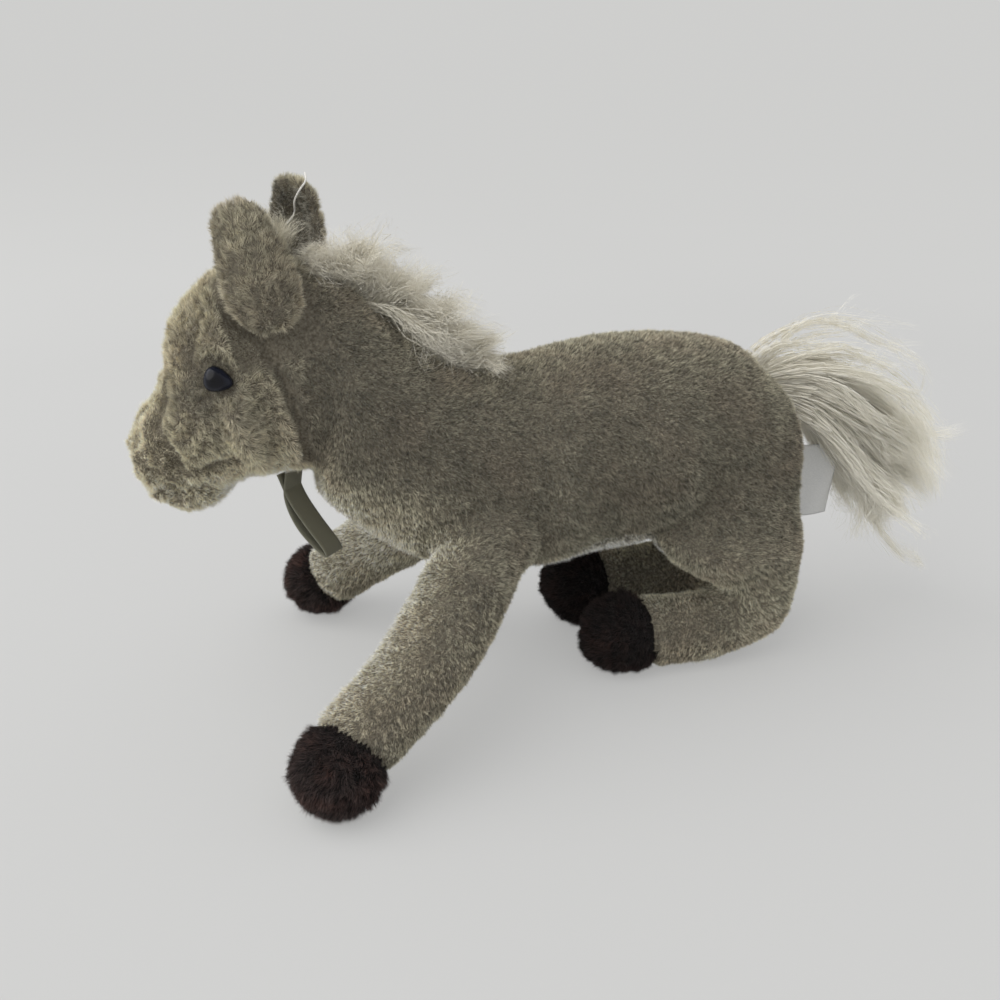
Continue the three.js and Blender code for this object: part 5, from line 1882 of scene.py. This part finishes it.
class FOAL_OT_tail(bpy.types.Operator):
    """The tail, a fan of long hair sewn into the seam of the rump"""

    bl_idname = "foal.tail"
    bl_label = "Tail"

    fan = (
        ((116, 0, 123), (131, 0, 127), (155, 0, 124), (176, 0, 111), (193, 0, 97), (214, 0, 79)),
        ((119, 0, 119), (139, 0, 119), (162, 0, 107), (187, 0, 89), (203, 0, 78), (215, 0, 67)),
        ((122, 0, 113), (140, 0, 108), (164, 0, 90), (190, 0, 68), (203, 0, 56), (214, 0, 45)),
        ((124, 0, 109), (139, 0, 101), (157, 0, 81), (176, 0, 56), (186, 0, 46), (194, 0, 37)),
        ((127, 0, 104), (141, 0, 95), (158, 0, 78), (170, 0, 63), (178, 0, 53), (182, 0, 46)),
    )
    wisps = (
        ((111, 2, 129), (120, 2, 136), (134, 2, 140), (152, 1, 139), (172, 0, 132), (188, 0, 131)),
        ((112, -1, 128), (124, -3, 134), (138, -4, 132), (156, -5, 129), (172, -6, 121), (190, -6, 116)),
        ((114, 0, 124), (127, 0, 136), (137, 0, 141), (154, 0, 139), (176, 0, 129), (189, 0, 118), (198, 0, 106)),
        ((117, 0, 122), (142, 0, 127), (166, 0, 124), (191, 0, 109), (214, 0, 92)),
        ((118, -2, 121), (140, -4, 123), (165, -6, 117), (188, -8, 104), (208, -9, 86)),
        ((115, 1, 124), (127, 2, 130), (139, 2, 134), (152, 1, 136), (163, 1, 139)),
        ((116, -2, 123), (130, -4, 128), (146, -5, 129), (163, -6, 125), (178, -6, 117)),
        ((118, 3, 119), (138, 6, 118), (160, 8, 106), (184, 9, 90), (205, 9, 79)),
        ((120, -2, 112), (136, -6, 108), (156, -9, 92), (172, -10, 70), (186, -10, 48)),
    )

    def execute(self, context):
        hair = settings(context, "foal_hair")
        rng = np.random.default_rng(35)
        count, steps = hair.tail_strands, 12
        q = rng.beta(1.15, 1.05, count)
        side = rng.normal(0, 1, count)
        paths = guided(self.fan, q, steps)
        spread = np.zeros((count, 1, 3))
        spread[:, 0, 1] = side
        paths = paths + spread * (1.8 + 7.5 * np.sin(np.pi * 0.62 * along_paths(steps)))
        short = 1 - rng.beta(1.2, 3.6, (count, 1, 1)) * 0.6
        short *= 1 + 0.13 * np.sin(47 * q + 3 * side)[:, None, None]
        paths = paths[:, :1] + (paths - paths[:, :1]) * short
        tree = cloth_tree()
        paths = root_paths(tree, row_place(paths))
        keys = np.stack([q * 34, side * 4.5], 1)
        paths = gather_locks(
            paths, keys, clumps=85, pull=0.96, frizz=0.0014, seed=36, wander=0.0088, curl=0.0062, firm=0.72
        )
        cream = hair_material("tail_cream_hair", (0.84, 0.80, 0.69), (0.96, 0.93, 0.83))
        tone = strand_tones(rng, count, 0.8, 0.25)
        tail = hair_mesh("tail_hair", held_back(paths), hair.strand_width, tone, 37, cream)
        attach(tail, "tail_body")
        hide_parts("tail")
        self.stray(hair, cream, tree)
        return {"FINISHED"}

    def stray(self, hair, cream, tree):
        """Loose wisps about the tail."""
        rng = np.random.default_rng(45)
        each, steps = 46, 16
        loose = np.linspace(0.5, 1, steps)[None, :, None]
        paths = [
            np.repeat(guided((wisp, wisp), np.zeros(1), steps), each, 0) + rng.normal(0, 1.9, (each, 1, 3)) * loose
            for wisp in self.wisps
        ]
        paths = root_paths(tree, row_place(np.concatenate(paths)))
        keys = np.arange(len(paths))[:, None] * np.ones((1, 2))
        paths = gather_locks(
            paths, keys, clumps=30, pull=0.92, frizz=0.0011, seed=46, wander=0.0030, curl=0.0036, firm=0.7
        )
        tone = strand_tones(rng, len(paths), 0.7, 0.2)
        stray = hair_mesh("tail_stray_hair", held_back(paths), hair.strand_width * 0.8, tone, 47, cream)
        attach(stray, "tail_body")


class FOAL_OT_ribbon(bpy.types.Operator):
    """The narrow ribbon loop under the jaw"""

    bl_idname = "foal.ribbon"
    bl_label = "Ribbon"

    twist, below_joint = math.radians(30), 0.0009
    # Backwards and down from its joint, as shares of its drop
    route = (
        (0, 0), (-0.03, 0.3), (0.09, 0.66), (0.33, 0.97), (0.38, 1), (0.36, 0.93), (0.16, 0.6), (0.02, 0.34),
        (-0.09, 0.02),
    )

    def execute(self, context):
        trim = settings(context, "foal_trim")
        size = settings(context, "foal_sizes")
        look, right = facing(size)
        top = JOINT_AT["ribbon_swing"] - np.array([0, 0, self.below_joint])
        line = np.array(self.route) * trim.ribbon_drop
        points = top - np.outer(line[:, 0], look) - np.outer(line[:, 1], [0, 0, 1.0])
        middle = spline_through(points, np.linspace(0, 1, 90))
        across = np.linspace(-0.5, 0.5, 9)
        side = math.sin(self.twist) * -look + math.cos(self.twist) * right
        grid = middle[:, None] + across[None, :, None] * trim.ribbon_width * side
        material, shader = blank_material("ribbed_ribbon")
        where = node(material, "ShaderNodeTexCoord")
        ribs = node(
            material, "ShaderNodeTexWave", [("Vector", where, "Object")], Scale=1500.0, Distortion=1.0, Detail=2.0,
            bands_direction="Z",
        )
        ramp = colour_ramp(material, ribs, "Fac", [(0.2, (0.13, 0.125, 0.085)), (0.8, (0.235, 0.225, 0.16))])
        link(material, ramp, "Color", shader, "Base Color")
        bump = node(material, "ShaderNodeBump", [("Height", ribs, "Fac")], Strength=0.3, Distance=0.0002)
        link(material, bump, "Normal", shader, "Normal")
        set_inputs(shader, Roughness=0.55, Sheen_Weight=0.3)
        ribbon = tape("ribbon_loop", grid, trim.ribbon_thickness, material)
        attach(ribbon, "ribbon_body")
        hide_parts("ribbon")
        return {"FINISHED"}


class FOAL_OT_label(bpy.types.Operator):
    """The bare care label in the seam under the tail"""

    bl_idname = "foal.label"
    bl_label = "Care label"

    sewn_in, thickness = 0.0058, 0.0004

    def execute(self, context):
        trim = settings(context, "foal_trim")
        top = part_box("care_label")[1].z
        rows, columns = 30, 24
        u, v = np.meshgrid(np.linspace(0, 1, rows), np.linspace(0, 1, columns), indexing="ij")
        curl = 0.16 * trim.label_width * v**2 * (1 - u * v)
        ripple = 0.0006 * np.sin(7 * v + 4 * u) * v
        edge = JOINT_AT["label_flap"]
        along = edge[0] - self.sewn_in + v * trim.label_width
        grid = np.stack([along, edge[1] - curl - ripple, top - u * trim.label_length], -1)
        material = grained_material(
            "white_satin", 3200.0, 2.0, (0.3, (0.64, 0.64, 0.625)), (0.7, (0.78, 0.78, 0.765)), (0.25, 0.0001),
            Roughness=0.38, Sheen_Weight=0.2,
        )
        label = tape("care_label_tape", grid, self.thickness, material)
        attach(label, "label_body")
        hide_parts("care_label")
        return {"FINISHED"}


class FOAL_PT_sidebar(bpy.types.Panel):
    """Lists the pieces of the foal"""

    bl_label = "Plush foal"
    bl_idname = "FOAL_PT_sidebar"
    bl_space_type = "VIEW_3D"
    bl_region_type = "UI"
    bl_category = "Foal"

    def draw(self, context):
        """A button for each operator, then the sizes and colours."""
        for operator in OPERATORS:
            self.layout.operator(operator.bl_idname)
        for name, _ in GROUPS:
            group = settings(context, name)
            box = self.layout.box()
            for prop in group.bl_rna.properties:
                if not prop.is_readonly and prop.identifier != "name":
                    box.prop(group, prop.identifier)


GROUPS = (
    ("foal_sizes", FoalSizes),
    ("foal_pile", FoalPile),
    ("foal_hair", FoalHair),
    ("foal_trim", FoalTrim),
    ("foal_studio", FoalStudio),
)
OPERATORS = (
    FOAL_OT_studio,
    FOAL_OT_thread,
    FOAL_OT_cloth,
    FOAL_OT_pile,
    FOAL_OT_ears,
    FOAL_OT_eyes,
    FOAL_OT_filling,
    FOAL_OT_mane,
    FOAL_OT_forelock,
    FOAL_OT_tail,
    FOAL_OT_ribbon,
    FOAL_OT_label,
)


def register():
    """Makes the groups, the operators and the panel known to Blender."""
    for name, group in GROUPS:
        bpy.utils.register_class(group)
        setattr(bpy.types.Scene, name, bpy.props.PointerProperty(type=group))
    for made in (*OPERATORS, FOAL_PT_sidebar):
        bpy.utils.register_class(made)


def unregister():
    """Takes them out again."""
    for made in reversed((*OPERATORS, FOAL_PT_sidebar)):
        bpy.utils.unregister_class(made)
    for name, group in reversed(GROUPS):
        delattr(bpy.types.Scene, name)
        bpy.utils.unregister_class(group)


def main():
    """Builds the whole foal."""
    register()
    for operator in OPERATORS:
        group, name = operator.bl_idname.split(".")
        getattr(getattr(bpy.ops, group), name)()


if __name__ == "__main__":
    main()
